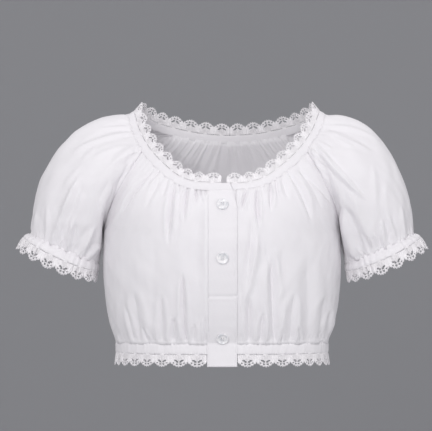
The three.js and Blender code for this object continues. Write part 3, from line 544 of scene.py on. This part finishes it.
def front_layer(side, own):
    def place(a, b):
        a = a if side > 0 else 1 - a
        points = front_surface(a, b)
        wide, high = FRONT_SIZE
        down, up, inward, outward = (1 - b) * high, b * high, (1 - a) * wide, a * wide
        near_neck = a * mix(wide, FRONT_NECK, smooth(b, 0.45, 0.95))
        small = puckers(near_neck, down, FRONT_NECK, 7 + side) + puckers(outward, up, wide, 9 + side)
        held = mix(0.1, 1, smooth(up, 0, 7)) * mix(0.35, 1, smooth(down, 0, 6))
        height = held * (1.2 * small + (1.5 - 0.05 * side) * strokes(points * (side, 1, 1), own))
        height += crumple(a, b, FRONT_SIZE, 5 + side, 0.4)
        height = height * smooth(inward, 0, 14) * smooth(outward, 0, 5)
        height = height + seam_dip(inward) * smooth(b, 0, 0.05) - 0.2 + 0.35 * smooth(up, 5, 0)
        if side < 0:
            height += 1.5 * smooth(outward, 11, 0) * smooth(b, 0.01, 0.1) * smooth(b, 1, 0.95)
        points = risen(points, height, side)
        points[-1] += neck_frame(mix(PLACKET_TURN, FRONT_RAGLAN, a[-1]), "lean")[0] * EDGE
        points[0, :, 2] -= EDGE
        points[:, 0 if side > 0 else -1, 0] -= EDGE
        points[..., 0] *= side
        return points, (wide * 1.3, high)
    return place


for node_name, side, own in (("front_left", 1, LEFT_STROKES), ("front_right", -1, RIGHT_STROKES)):
    front = lay("cloth_" + node_name, 200, 100, front_layer(side, own), CLOTH)
    dress(front, cotton, "cotton", node_name)

# The puff sleeves: each one piece sewn into a tube, gathered along the neck binding and again into the
# cuff, so that it stands out in a ball with long folds running from the neck down to the cuff.
CUFF_RINGS = columns(
    "level inner_x inner_z outer_x outer_z depth sag",
    (0, 169.8, -204, 262, -164, 50, 0),
    (1, 171, -217, 273.5, -170, 57, 4),
    (2, 173.5, -232.5, 284, -186, 61, 6.5),
)
SLEEVE_PUFF = columns(
    "round out_x out_y out_z up swell",
    (0, 7, -3, 1, 16, -7),
    (0.13, 20, -20, 2, 34, 17),
    (0.27, 41, -38, -4, 52, 27),
    (0.49, 76, 0, 8, 68, 32),
    (0.73, 62, 22, -2, 52, 28),
    (0.87, 22, 5, -2, 34, 14),
    (1, 7, 0, 1, 16, -7),
)
SLEEVE_FROM, SLEEVE_TO = 0.27, 0.73  # the part of the round that is gathered into the binding
SLEEVE_SIZE = (430.0, 210.0)  # round it, and from the upper edge to the cuff


def cuff_ring(turn, level):
    """Round the cuff from the underarm over the front, at its edges 0 and 1 or at the foot of the lace, 2."""
    ring = read(CUFF_RINGS, "level", level)
    zero = 0 * ring["inner_x"]
    inner = np.stack([ring["inner_x"], zero, ring["inner_z"]], -1)
    outer = np.stack([ring["outer_x"], zero, ring["outer_z"]], -1)
    angle = 2 * np.pi * turn
    side = np.stack([0 * angle, -ring["depth"] * np.sin(angle), -ring["sag"] * np.sin(angle) ** 2], -1)
    return (inner + outer) / 2 + (inner - outer) / 2 * np.cos(angle)[..., None] + side


CUFF_INNER = unit(cuff_ring(np.array(0.0), np.array(0.0)) - cuff_ring(np.array(0.5), np.array(0.0)))
CUFF_DOWN = np.array([-CUFF_INNER[2], 0, CUFF_INNER[0]])


def cuff_out(turn):
    angle = 2 * np.pi * turn[..., None]
    return unit(CUFF_INNER * np.cos(angle) - np.array([0, 1, 0]) * np.sin(angle))


def seam_point(sections, rows, share):
    rise = np.interp(share * (len(rows) - 1), np.arange(len(rows)), rows)
    at = read(sections, "rise", rise)
    return np.stack([at["edge_x"], at["edge_y"], at["edge_z"]], -1)


def sleeve_surface(turn, down):
    """The left sleeve without its folds, round from the underarm over the front and down from the upper
    edge."""
    puff = read(SLEEVE_PUFF, "round", turn)
    share = (turn - SLEEVE_FROM) / (SLEEVE_TO - SLEEVE_FROM)
    at_front = seam_point(FRONT_SECTIONS, FRONT_ROWS, np.clip(turn / SLEEVE_FROM, 0, 1))
    at_back = seam_point(BACK_SECTIONS, BACK_ROWS, np.clip((1 - turn) / (1 - SLEEVE_TO), 0, 1))
    start = neck_point(mix(FRONT_RAGLAN, BACK_RAGLAN, np.clip(share, 0, 1)))
    start = np.where((turn > SLEEVE_TO)[..., None], at_back, start)
    start = np.where((turn < SLEEVE_FROM)[..., None], at_front, start)
    end = cuff_ring(turn, 0 * turn)
    leave = start + np.stack([puff["out_x"], puff["out_y"], puff["out_z"]], -1)
    arrive = end - CUFF_DOWN * puff["up"][..., None] + cuff_out(turn) * puff["swell"][..., None]
    t = down[..., None]
    return start * (1 - t) ** 3 + 3 * leave * t * (1 - t) ** 2 + 3 * arrive * t * t * (1 - t) + end * t ** 3


SLEEVE_NECK = columns(
    "at lean width depth reach",
    (61, -0.05, 2.6, 1.9, 38), (72, 0.05, 3.4, 2.6, 100), (84, 0, 2.6, 1.8, 40), (95, -0.04, 3.2, 2.4, 80),
    (107, 0.05, 2.8, 2, 46), (119, 0, 3.4, 2.5, 90), (131, 0.04, 2.6, 1.8, 36), (142, -0.08, 3, 2.2, 62),
    (154, -0.05, 2.6, 1.8, 36), (166, -0.1, 3, 2.2, 54),
)
SLEEVE_CUFF = columns(
    "at lean width depth reach",
    (184, 0, 4, 3.6, 60), (199, 0.05, 3.2, 2.8, 34), (213, -0.06, 3.8, 3.4, 52), (228, 0.04, 3.2, 2.8, 30),
    (242, 0, 4, 3.6, 58), (257, -0.05, 3.2, 2.8, 34), (271, 0.04, 3.8, 3.4, 50), (286, -0.08, 3.2, 2.8, 32),
    (300, -0.02, 4, 3.6, 56), (315, -0.1, 3.2, 2.8, 34), (330, 0, 3.8, 3.4, 48), (345, -0.1, 3.2, 2.6, 30),
    (359, 0.04, 3.6, 3, 40), (374, -0.08, 3.2, 2.4, 26), (388, -0.06, 3.2, 2.2, 30),
    (402, -0.1, 3, 1.8, 20),
)
SLEEVE_FOLDS = columns(
    "a0 b0 a1 b1 width depth",
    (0.57, 0.06, 0.56, 0.92, 8, 2.8), (0.63, 0.04, 0.62, 0.82, 7, 2.4), (0.7, 0.05, 0.67, 0.85, 7, 2.8),
    (0.77, 0.06, 0.73, 0.9, 6, 2.6), (0.84, 0.08, 0.8, 0.8, 6, 2.2),
)
LEFT_SLEEVE_STROKES = columns(
    "x0 y0 x1 y1 bow width depth",
    (319, 127, 373, 138, 4, 1.3, 1.3), (322, 132, 369, 152, 0.8, 1.8, 1.5),
    (330, 138, 352, 149, 0, 1.5, 1.1), (313, 141, 330, 149, 0, 1, 1.1), (312, 144, 366, 201, -2, 1.7, 2.2),
    (308, 148, 329, 195, 0, 1.6, 2.8), (306, 147, 324, 167, 0, 1.2, 1.5),
    (340, 210, 358, 264, -2.7, 4.2, 3.4), (350, 194, 370, 248, 0, 4.5, 2), (341, 206, 366, 252, 1, 3, -1.6),
    (359, 233, 370, 260, 0, 1.8, 2.3), (368, 235, 376, 258, 0, 1.3, 1.8),
    (380.5, 219, 384.5, 252, 0, 1.7, 2.4), (387, 215, 396, 248, 0.8, 1.6, 2.2),
    (400, 206, 405.5, 245, -0.5, 1.5, 1.3), (383, 184, 387.5, 224, 0, 2.4, 0.8),
    (371, 164, 375, 210, 0, 2, 0.6), (374, 232, 378, 256, 0, 1.2, 1.5), (391, 232, 392, 250, 0, 1, 1.2),
)
RIGHT_SLEEVE_STROKES = columns(
    "x0 y0 x1 y1 bow width depth",
    (136, 127, 97, 129, -0.5, 1.2, 1.2), (137, 133, 73, 151, -4.5, 1.6, 1.5),
    (123, 145.5, 92, 157.5, -1, 1.5, 0.9), (93, 146, 80, 160, 0, 1.8, 0.7), (79, 166, 61, 188, 0, 1.5, 0.6),
    (135, 144, 108, 165, -0.5, 2.6, 1.6), (137, 142, 135.5, 156, 0, 1.2, 1.9),
    (143, 149, 112, 208, -3, 1.7, 2.8), (138, 151, 123, 170, 0, 1.5, 1.6),
    (129, 163, 120, 186, 0, 1.2, 2.2), (112, 184, 103, 216, -1, 3.2, 1.8), (79, 176, 50, 246, -1.5, 2.4, 3),
    (74, 182, 60, 214, 0, 5, 1.4), (47, 205, 44.5, 246, 0.5, 1.5, 1.1), (72, 220, 63, 262, 0.8, 1.7, 3),
    (93, 226, 77, 262, 0, 2.6, 3), (100, 244, 84, 262, 0, 2.4, 2), (61, 224, 54, 250, 0, 1.2, 1.7),
    (61.5, 236, 60, 252, 0, 1, 1.4), (36, 212, 34, 240, 0, 2, 1.1), (78, 192, 65, 230, 0, 2, -1.1),
)


def cuff_pucker(turn):
    """How far the elastic cuff stands out between its gathers."""
    warped = turn + 0.006 * np.sin(2 * np.pi * 5 * turn) + 0.004 * np.sin(2 * np.pi * 11 * turn + 1)
    ridge = np.sqrt(abs(np.sin(np.pi * 33 * warped))) - 0.65
    uneven = 0.75 + 0.35 * np.sin(2 * np.pi * 7 * turn + 0.5) + 0.2 * np.sin(2 * np.pi * 13 * turn)
    return 2.2 * ridge * uneven * smooth(np.sin(np.pi * turn), 0.03, 0.3)


def sleeve_layer(side, slip, own):
    """slip moves the folds at the back of the sleeve, so that left and right differ."""
    def place(a, b):
        turn, down = (a if side < 0 else 1 - a), 1 - b
        points = sleeve_surface(turn, down)
        girth, drop = SLEEVE_SIZE
        length = mix(45, 225, np.sin(np.pi * turn))
        from_top, from_cuff = down * length, (1 - down) * length
        share = np.clip((turn - SLEEVE_FROM) / (SLEEVE_TO - SLEEVE_FROM), 0, 1)
        room = smooth(np.sin(np.pi * turn), 0.08, 0.5)
        at_neck = mix(172.0, 200.0, down) * share
        behind = smooth(turn, 0.48, 0.56)
        height = puckers(at_neck, from_top, 200, 13 + side) * smooth(share * (1 - share), 0, 0.03)
        back_gathers = gathers(at_neck + 9 * slip, from_top, SLEEVE_NECK)
        height += back_gathers * behind * smooth(share, 1, 0.96)
        height += 1.5 * room * behind * gathers((turn + slip) * girth, from_cuff, SLEEVE_CUFF)
        height += 1.3 * room * behind * folds(turn + slip, down, SLEEVE_SIZE, SLEEVE_FOLDS)
        height += room * puckers(turn * girth, from_cuff, girth, 17 + side)
        seam_room = smooth(np.sin(np.pi * turn), 0.02, 0.16)
        held = mix(0.5, 1, smooth(from_cuff, 0, 9) * smooth(from_top, 0, 7))
        height = height + 1.4 * (1 - behind) * seam_room * held * strokes(points * (side, 1, 1), own)
        height += room * crumple(turn, down, SLEEVE_SIZE, 11 + side, 0.6)
        raglan = np.maximum(smooth(turn, SLEEVE_FROM + 0.02, SLEEVE_FROM - 0.01),
                            smooth(turn, SLEEVE_TO - 0.02, SLEEVE_TO + 0.01))
        height = height * mix(1, smooth(from_top, 0, 6), raglan) + raglan * room * seam_dip(from_top)
        height = height - 0.4 + 0.9 * cuff_pucker(turn) * smooth(from_cuff, 22, 0)
        points = risen(points, height, side, wrap=True)
        onto = (1 - raglan[-1])[:, None]
        points[-1] += neck_frame(mix(FRONT_RAGLAN, BACK_RAGLAN, share[-1]), "lean")[0] * EDGE * onto
        points[0] += CUFF_DOWN * EDGE
        points[..., 0] *= side
        return points, (girth, drop)
    return place


for side, which, slip, own in ((1, "left", 0.0, LEFT_SLEEVE_STROKES),
                               (-1, "right", 0.012, RIGHT_SLEEVE_STROKES)):
    sleeve = lay("cloth_sleeve_" + which, 260, 96, sleeve_layer(side, slip, own), CLOTH, closed=True)
    dress(sleeve, cotton, "cotton", "sleeve_" + which)

# The neck binding: a strip of the same cotton folded over the gathered edge and stitched down, 11 mm wide.
# Its ends lap at centre front, the wearer's right end on top.
STEP_ALONG = 1.6  # from one column of points of a strip to the next


def tape(name, length, place, height, thick, closed=False, around=24):
    """A folded strip with rounded edges: place(t, s, lift) gives the points along it at t, from edge to
    edge at s, lifted off its middle layer. Its ends are pressed together unless it is a closed ring."""
    def wrapped(a, b):
        turn = 2 * np.pi * b
        s = (1 - np.cos(turn)) / 2
        bulge = np.sign(np.sin(turn)) * np.sqrt(np.clip(1 - abs(2 * s - 1) ** 6, 0, 1))
        ends = 1.0 if closed else np.sqrt(np.clip(np.minimum(a, 1 - a) * length / 1.2, 0, 1))
        points = place(a, s, bulge * thick / 2 * ends)
        return points, (length, 2 * height)
    return lay(name, int(length / STEP_ALONG), around, wrapped, 0, closed=True)


def ripple(place, counts, height):
    """Small uneven waves along a strip."""
    wave = 0 * place
    for k, count in enumerate(counts):
        wave += np.sin(2 * np.pi * count * (place + 0.37)) / (1 + 0.3 * k)
    return height * wave / len(counts)


band_cotton = cloth_material("band_cotton", (0.86, 0.84, 0.862), (0.81, 0.79, 0.815), 0.0009, 0.25)
BINDING, BINDING_LONG = 11.0, 850
LAP_TOP, LAP_BOTTOM, LAP_UNDER = 11.6, 14.5, 8.0  # how far its ends run past the middle


def binding_point(turn, share):
    up, out = neck_frame(turn, "lean")
    lap = 1.25 * (smooth(turn, 0.9, 0.985) + smooth(turn, 0.015, 0.1) - 1)
    return neck_point(turn) + up * (0.15 + share * BINDING)[..., None] + out * lap[..., None], out


def binding_place(t, s, lift):
    over = 1 + along_at(mix(LAP_BOTTOM, LAP_TOP, s))
    turn = mix(-along_at(LAP_UNDER), over, t)
    point, out = binding_point(turn, s)
    pucker = ripple(t, (61, 97, 143), 0.35) * (1 - s) + ripple(t, (38, 83), 0.2)
    ditch = 0.3 * (hump(s, 0.13, 0.07) + hump(s, 0.9, 0.06))
    return point + out * (lift * (1 - ditch) + pucker)[..., None]


binding = tape("tape_neck_binding", BINDING_LONG, binding_place, BINDING, 1.5)
dress(binding, band_cotton, "band", "neck_binding")


def thread_mesh(name, runs, radius, sides):
    """Threads as tubes: one path for every run of points in millimetres."""
    bpy.ops.curve.primitive_nurbs_path_add()
    path = bpy.context.object
    path.name = path.data.name = name
    path.data.splines.clear()
    for run in runs:
        line = path.data.splines.new("POLY")
        line.points.add(len(run) - 1)
        line.points.foreach_set("co", np.c_[np.asarray(run), np.ones(len(run))].ravel())
    path.data.bevel_depth = radius
    path.data.bevel_resolution = sides
    path.data.use_fill_caps = True
    pick(path)
    bpy.ops.object.convert(target="MESH")
    return bpy.context.object


STITCH, THREAD = 2.6, 0.2  # the length of a stitch and the radius of its thread


def sew(name, place, length, rows, lift):
    """Rows of stitches along a strip, each row at its own share of the strip's width."""
    count = int(length / STITCH)
    t = (np.arange(count)[:, None] + np.array([0.12, 0.3, 0.7, 0.88])) / count
    bow = np.array([-0.15, 0.1, 0.1, -0.15]) + lift
    runs = [run for s in rows for run in settled(place(t, s + 0 * t, bow + 0 * t))]
    stitches = thread_mesh(name, runs, THREAD, 0)
    stitches.data.transform(Matrix.Scale(0.001, 4))
    bpy.ops.object.shade_smooth()
    stitches.data.materials.append(band_cotton)
    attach(stitches, "root")
    return stitches


binding_stitches = sew("stitches_neck_binding", binding_place, BINDING_LONG, (0.13, 0.9), 0.62)

# The lace: crocheted cotton edging with scallops 21 mm wide, one scallop worked in thread and repeated
# round neck, hem and cuffs, where its straight edge is sewn to the bands. At the neck it stands up from
# the binding.
LACE = 17.0
SCALLOP = (21.0, LACE)


def scallop_edge(u):
    return np.interp(abs(u - 0.5), (0, 0.1, 0.2, 0.3, 0.4, 0.5), (1.0, 0.985, 0.945, 0.88, 0.79, 0.67))


def in_hole(u, v):
    """Where the threads stop: two curved eyelets side by side in the dome and a ring of short slits
    inside the rim."""
    near = abs(u - 0.5)
    bow = 0.34 + 0.27 * np.sqrt(np.clip(1 - (near / 0.3) ** 2, 0, 1))
    eyelet = (near > 0.05) & (near < 0.26) & (abs(v - bow) < 0.064)
    angle = np.arctan2((u - 0.5) * SCALLOP[0], (v - 0.2) * SCALLOP[1])
    ring = abs((scallop_edge(u) - v) * SCALLOP[1] - 2.9) < 0.8
    return eyelet | (ring & (np.cos(15 * angle) < -0.35) & (near < 0.36))


LADDER, RIM = 0.16, 0.09  # the shares of the scallop above and below the close work
ROWS = 13


def scallop_runs():
    """The closely worked threads, one below the other from the stitched edge to the rim."""
    runs = []
    u = np.linspace(0, 1, 31)
    for row in range(ROWS):
        v = LADDER + (scallop_edge(u) - RIM - LADDER) * row / (ROWS - 1)
        runs_on = ~in_hole(u, v)
        start = None
        for i in range(len(u) + 1):
            inside = i < len(u) and runs_on[i]
            if inside and start is None:
                start = i
            if not inside and start is not None:
                if i - start > 1:
                    depth = 0.22 * np.sin(u[start:i] * 40 + row * 6)
                    runs.append(np.stack([u[start:i] * SCALLOP[0], v[start:i] * SCALLOP[1], depth], -1))
                start = None
    edge = [(x * SCALLOP[0], 0.5 + 0.1 * math.sin(40 * x), 0) for x in u]
    centre = [[(0.38 * SCALLOP[0], y, 0), (0.62 * SCALLOP[0], y, 0)] for y in (1.3, 2.1)]
    return runs + [edge] + centre


def bars():
    """Single threads across the ladder beside the stitched edge."""
    found = []
    for at in [0.5 + side * near for near in (0.16, 0.22, 0.28, 0.34, 0.4, 0.46) for side in (-1, 1)]:
        found.append([(at * SCALLOP[0], 0.4, 0), (at * SCALLOP[0], 0.17 * SCALLOP[1], 0)])
    return found


def picots():
    """The little loops along the rim."""
    found = []
    for i in range(7):
        u = (i + mix(0.1, 0.9, np.linspace(0, 1, 7))) / 7
        swell = np.sin(np.linspace(0, np.pi, 7)) ** 0.6
        below = scallop_edge(u) * SCALLOP[1] - 1.9 + 1.85 * swell
        found.append(np.stack([u * SCALLOP[0], below, 0 * u], -1))
    return found


YARN, FINE_YARN = 0.56, 0.36  # the radii of its threads
scallop = thread_mesh("scallop", scallop_runs(), YARN, 0)
fine = thread_mesh("scallop_bars", bars() + picots(), FINE_YARN, 0)
pick(scallop, fine)
bpy.ops.object.join()
flat_scallop = np.empty(3 * len(scallop.data.vertices))
scallop.data.vertices.foreach_get("co", flat_scallop)
flat_scallop = flat_scallop.reshape(-1, 3)
lace_cotton = cloth_material("lace_cotton", (0.94, 0.92, 0.935), (0.87, 0.85, 0.872), 0.0006, 0.4)


def edging(node_name, count, place, first, last, side=1):
    """A strip of lace: copies of the scallop, laid from first to last along an edge by place(turn, v)."""
    copies = []
    for i in range(count):
        pick(scallop)
        bpy.ops.object.duplicate()
        copy = bpy.context.object
        below = flat_scallop[:, 1] / SCALLOP[1]
        turn = mix(first, last, (i + flat_scallop[:, 0] / SCALLOP[0]) / count)
        point, out = place(turn, below - 0.09 * (1 - below))
        point = point + out * flat_scallop[:, 2:]
        point[..., 0] *= side
        copy.data.vertices.foreach_set("co", (settled(point) * 0.001).ravel())
        copies.append(copy)
    pick(*copies)
    bpy.ops.object.join()
    strip = bpy.context.object
    strip.name = strip.data.name = "thread_" + node_name
    finish_mesh(strip)
    dress(strip, lace_cotton, "lace", node_name)
    return strip


def neck_lace_place(turn, v):
    seam = binding_point(turn, 1 + 0 * v)[0] + neck_frame(turn, "lean")[0] * 0.45
    up, out = neck_frame(turn, "lace")
    wave = ripple(turn, (31, 47, 19), 1.1) * v
    return seam + up * (v * LACE)[..., None] + out * wave[..., None], out


HALF_ROUND = 17  # scallops from centre front to centre back
neck_laces = [edging("neck_lace_left", HALF_ROUND, neck_lace_place, along_at(6.0), 0.4996),
              edging("neck_lace_right", HALF_ROUND, neck_lace_place, 0.5004, 1 - along_at(1.7))]

# The placket: two folded strips down the front edges, the wearer's right over the left, each stitched along
# both sides, from below the binding to the foot of the hem lace.
HEM_BAND = 15.0
FOOT = HEM_BAND + LACE
FOOT_SHARE = 0.13  # the share of the strip that hangs below the gathered edge
PLACKET_LONG = 260
LONG_CREASE, SHORT_CREASE = -246.8, -113  # the heights of the creases across the upper strip


def placket_point(x, rise, drop):
    """A place x beside the middle of the front, at a rise from hem to neck or dropped below the hem seam."""
    near = abs(x)
    point = panel(FRONT_SECTIONS, rise, lambda section: share_at(section, near), along_at(near), 0.62)
    point[..., 2] -= drop
    point[..., 0] *= np.where(x < 0, -1, 1)
    return point


rise_steps = np.linspace(0, 1, 400)
middle_line = placket_point(0 * rise_steps, rise_steps, 0 * rise_steps)
slope = np.gradient(middle_line, axis=0)
middle_out = unit(np.stack([0 * rise_steps, -slope[:, 2], slope[:, 1]], -1))
middle_out[:6] = (0, -1, 0)


def out_at(rise):
    return np.stack([np.interp(rise, rise_steps, middle_out[:, i]) for i in range(3)], -1)


def placket(name, left, right, layer, creased):
    """One strip between its two edges, on its own layer. The upper one has a pressed crease across it and
    a short one near the neck."""
    def place(t, s, lift):
        drop = FOOT * np.clip(1 - t / FOOT_SHARE, 0, 1)
        rise = np.clip((t - FOOT_SHARE) / (1 - FOOT_SHARE), 0, 1)
        x = mix(left + 0 * rise, right(rise), s)
        point = placket_point(x, rise, drop)
        z = point[..., 2].copy()
        point = point + neck_frame(along_at(abs(x)), "lean")[0] * (1.6 * smooth(rise, 0.97, 1))[..., None]
        ditch = 0.35 * (hump(s, 0.05, 0.02) + hump(s, 0.95, 0.02))
        wave = ripple(t, (5, 9, 17), 0.35) * (0.4 + s) + ripple(t + 0.3 * s, (23, 41), 0.12)
        fold = 0.7 * hump(z, LONG_CREASE, 1.6) - 0.35 * hump(z, LONG_CREASE - 3.7, 2.5)
        short = 0.6 * hump(z + 0.25 * x, SHORT_CREASE, 1.6) * (1 - smooth(x, -8, -3))
        height = layer + lift * (1 - ditch) + wave - creased * (fold + short)
        return point + out_at(rise) * height[..., None]
    strip = tape("tape_" + name, PLACKET_LONG, place, 40, 1.35, around=64)
    dress(strip, band_cotton, "band", name)
    stitches = sew("stitches_" + name, place, PLACKET_LONG, (0.05, 0.95), 0.5)


def leaning(rise):
    return mix(19.9, LAP_BOTTOM, smooth(rise, 0.84, 1.03))


placket("placket_top", 0.3 - PLACKET_SIDE, leaning, 0.95, 1)
placket("placket_under", 2 - PLACKET_SIDE, lambda rise: 20.1 + 0 * rise, -0.95, 0)

# The hem band: a folded strip 15 mm wide into which fronts and back are gathered, once round from placket
# to placket. The lace hangs from its lower edge.
HEM_HALF, HEM_FRONT, HEM_BACK = 146, -101, -88  # half its width, and how deep it is in front and behind
HEM_Z = (-310.5, -314)  # its upper edge in the middle of the front, and at the sides and back
HEM_LONG = 760
HEM_START = math.asin((PLACKET_SIDE + 0.3) / HEM_HALF) / (2 * math.pi)


def hem_point(share, depth, spread):
    """A place along the band from placket to placket, below its upper edge and spread outwards, and the way
    out there."""
    angle = 2 * np.pi * mix(HEM_START, 1 - HEM_START, share)
    front = np.cos(angle) > 0
    deep = np.where(front, HEM_FRONT, HEM_BACK)
    sideways = np.where(front, np.arcsin(np.clip(abs(np.sin(angle)), 0, 1)) / (np.pi / 2), 1)
    z = mix(*HEM_Z, sideways ** 2.2) - depth
    out = unit(np.stack([np.sin(angle) / HEM_HALF, np.cos(angle) / deep, 0 * angle], -1))
    point = np.stack([HEM_HALF * np.sin(angle), deep * np.cos(angle), z], -1)
    return point + out * spread[..., None], out


def hem_place(t, s, lift):
    point, out = hem_point(mix(-0.0032, 1.0032, t), 0.2 + (1 - s) * (HEM_BAND - 0.5), 0 * s)
    pucker = ripple(t, (71, 113, 167), 0.4) * s + ripple(t, (43, 29, 151, 197), 0.9) * (1 - s * s)
    pucker += 0.8 * puckers(t * HEM_LONG, (1 - s) * HEM_BAND, HEM_LONG, 21) - 0.5 * smooth(s, 0.8, 1)
    ditch = 0.3 * (hump(s, 0.9, 0.05) + hump(s, 0.1, 0.05))
    return point + out * (lift * (1 - ditch) + pucker)[..., None]


def hem_lace_place(turn, v):
    wave = ripple(turn, (27, 44, 15), 1.1) * v
    return hem_point(turn, HEM_BAND + v * LACE, 2 * v + wave)


hem_band = tape("tape_hem_band", HEM_LONG, hem_place, HEM_BAND, 1.7)
dress(hem_band, band_cotton, "band", "hem_band")
hem_stitches = sew("stitches_hem_band", hem_place, HEM_LONG, (0.1, 0.9), 0.7)
hem_laces = [edging("hem_lace_left", HALF_ROUND, hem_lace_place, 0, 0.4996),
             edging("hem_lace_right", HALF_ROUND, hem_lace_place, 0.5004, 1)]

# The cuffs: a folded strip of the same cotton round a narrow elastic, so that it puckers all round. It
# flares slightly towards the lace, which is sewn to its lower edge.
CUFF, CUFF_LONG = 14, 330


def cuff_side(turn, low, high):
    """Out of the wall of the cuff between two levels."""
    step = 0.002
    low, high = low + 0 * turn, high + 0 * turn
    across = cuff_ring(turn + step, low) - cuff_ring(turn - step, low)
    out = unit(np.cross(across, cuff_ring(turn, high) - cuff_ring(turn, low)))
    return out * np.sign((out * cuff_out(turn)).sum(-1, keepdims=True))


def cuff_place(side, own):
    def place(t, s, lift):
        turn = t if side > 0 else 1 - t
        level = 1 - s
        point = cuff_ring(turn, level)
        out = cuff_side(turn, 0, 1)
        waist = 0.6 * hump(s, 0.3, 0.3) - 1.3 * hump(s, 0.8, 0.1)
        drawn = 0.6 * strokes(point * (side, 1, 1), own) * smooth(turn, 0.56, 0.48)
        drawn += ripple(t, (47, 71, 89), 0.7) * s
        height = lift + cuff_pucker(turn) * (0.9 + 0.3 * level) + waist + drawn
        point = point + out * height[..., None]
        point[..., 0] *= side
        return point
    return place


def cuff_lace_place(turn, v):
    out = cuff_side(turn, 1, 2)
    wave = cuff_pucker(turn) * mix(1.2, 1.5, v)
    return cuff_ring(turn, 1 + v) + out * wave[..., None], out


for side, which, own in ((1, "left", LEFT_SLEEVE_STROKES), (-1, "right", RIGHT_SLEEVE_STROKES)):
    cuff = tape("tape_cuff_" + which, CUFF_LONG, cuff_place(side, own), CUFF, 1.6, closed=True)
    dress(cuff, band_cotton, "band", "cuff_" + which)
    cuff_stitches = sew("stitches_cuff_" + which, cuff_place(side, own), CUFF_LONG, (0.15, 0.8), 0.65)
    cuff_laces = [edging(f"cuff_lace_{which}_front", 8, cuff_lace_place, 0.001, 0.499, side),
                  edging(f"cuff_lace_{which}_back", 8, cuff_lace_place, 0.501, 0.999, side)]
bpy.data.objects.remove(scallop)

# The buttons: three discs of mother-of-pearl imitation, 16 mm across, each turned with a raised rim round a
# dished middle and sewn on through four holes.
BUTTON_RADIUS, BUTTON_THICK = 0.008, 0.0026
RIM_WIDE, SLOPE_WIDE, DISH_DEEP = 0.0016, 0.0012, 0.0009
HOLE_RADIUS, HOLE_OFF = 0.0007, 0.0014


def pearl_material():
    material, tree, shader = new_material("pearl")
    place = node(tree, "ShaderNodeTexCoord", {}, {}, out="Object")
    cloud = node(tree, "ShaderNodeTexNoise", {}, {"Vector": place, "Scale": 210.0, "Detail": 2.0})
    feed(tree, shader, {
        "Base Color": between(tree, cloud * 3 - 1, (0.68, 0.69, 0.72), (0.94, 0.92, 0.93)),
        "Roughness": 0.28,
        "Coat Weight": 0.5,
        "Coat Roughness": 0.12,
    })
    return material


pearl = pearl_material()
for node_name, height in (("button_top", -126), ("button_middle", -196), ("button_bottom", -303)):
    rise = np.interp(height, middle_line[:, 2], rise_steps)
    out = Vector(out_at(rise))
    seat = Vector(settled(placket_point(np.array(0.4), np.array(rise), np.array(0.0)))) + out * 1.85
    pick()
    bpy.ops.mesh.primitive_cylinder_add(vertices=48, radius=BUTTON_RADIUS, depth=BUTTON_THICK)
    button = bpy.context.object
    button.name = button.data.name = "pearl_" + node_name
    bpy.ops.object.mode_set(mode="EDIT")
    bpy.ops.mesh.select_all(action="DESELECT")
    bpy.ops.object.mode_set(mode="OBJECT")
    for face in button.data.polygons:
        face.select = face.normal.z > 0.9
    bpy.ops.object.mode_set(mode="EDIT")
    bpy.ops.mesh.inset(thickness=RIM_WIDE)
    bpy.ops.mesh.inset(thickness=SLOPE_WIDE)
    bpy.ops.transform.translate(value=(0, 0, -DISH_DEEP))
    bpy.ops.object.mode_set(mode="OBJECT")
    rim = button.modifiers.new("rim", "BEVEL")
    rim.width = 0.0005
    rim.segments = 3
    rim.angle_limit = math.radians(20)
    bpy.ops.object.modifier_apply(modifier=rim.name)
    for x in (-HOLE_OFF, HOLE_OFF):
        for y in (-HOLE_OFF, HOLE_OFF):
            pick()
            bpy.ops.mesh.primitive_cylinder_add(vertices=16, radius=HOLE_RADIUS, depth=0.02,
                                                location=(x, y, 0))
            drill = bpy.context.object
            hole = button.modifiers.new("hole", "BOOLEAN")
            hole.object = drill
            bpy.context.view_layer.objects.active = button
            bpy.ops.object.modifier_apply(modifier=hole.name)
            bpy.data.objects.remove(drill)
    button.data.transform(Matrix.Translation((0, 0, BUTTON_THICK / 2)))
    facing = out.to_track_quat("Z", "Y").to_matrix().to_4x4()
    button.data.transform(Matrix.Translation(seat * 0.001) @ facing)
    pick(button)
    bpy.ops.object.shade_smooth_by_angle(angle=math.radians(35))
    dress(button, pearl, "pearl", node_name)

# The studio: a plain pale floor well below the blouse and a pale wall behind it, both of matt paper, with
# soft light mainly from the upper left.
pick()
bpy.ops.mesh.primitive_plane_add(size=24, location=(0, 0, -1.6))
floor = bpy.context.object
floor.name = "floor"
bpy.ops.mesh.primitive_plane_add(size=24, location=(0, 5, 0), rotation=(math.radians(90), 0, 0))
wall = bpy.context.object
wall.name = "wall"
paper, tree, shader = new_material("paper")
feed(tree, shader, {"Base Color": (0.42, 0.425, 0.44, 1), "Roughness": 0.9})
for surface in (floor, wall):
    surface.data.materials.append(paper)
AIM = Vector((0, 0, -0.2))
for name, place, size, power in (
    ("key", (-0.7, -2.9, 0.5), 1.0, 36),
    ("fill", (1.9, -2.3, -0.2), 1.3, 14),
    ("left", (-2.3, -0.7, 0.0), 1.2, 3),
    ("right", (2.3, -0.7, 0.0), 1.2, 2.7),
    ("top", (0.1, 0.1, 1.7), 0.9, 5),
    ("rim", (0.4, 2.3, 0.8), 0.9, 20),
):
    bpy.ops.object.light_add(type="AREA", location=place)
    light = bpy.context.object
    light.name = name
    light.data.size = size
    light.data.energy = power
    light.rotation_euler = (AIM - Vector(place)).to_track_quat("-Z", "Y").to_euler()
world = bpy.data.worlds.new("studio")
world.use_nodes = True
tree = world.node_tree
feed(tree, tree.nodes["Background"], {"Color": (0.95, 0.94, 0.97, 1), "Strength": 0.62})
bpy.context.scene.world = world
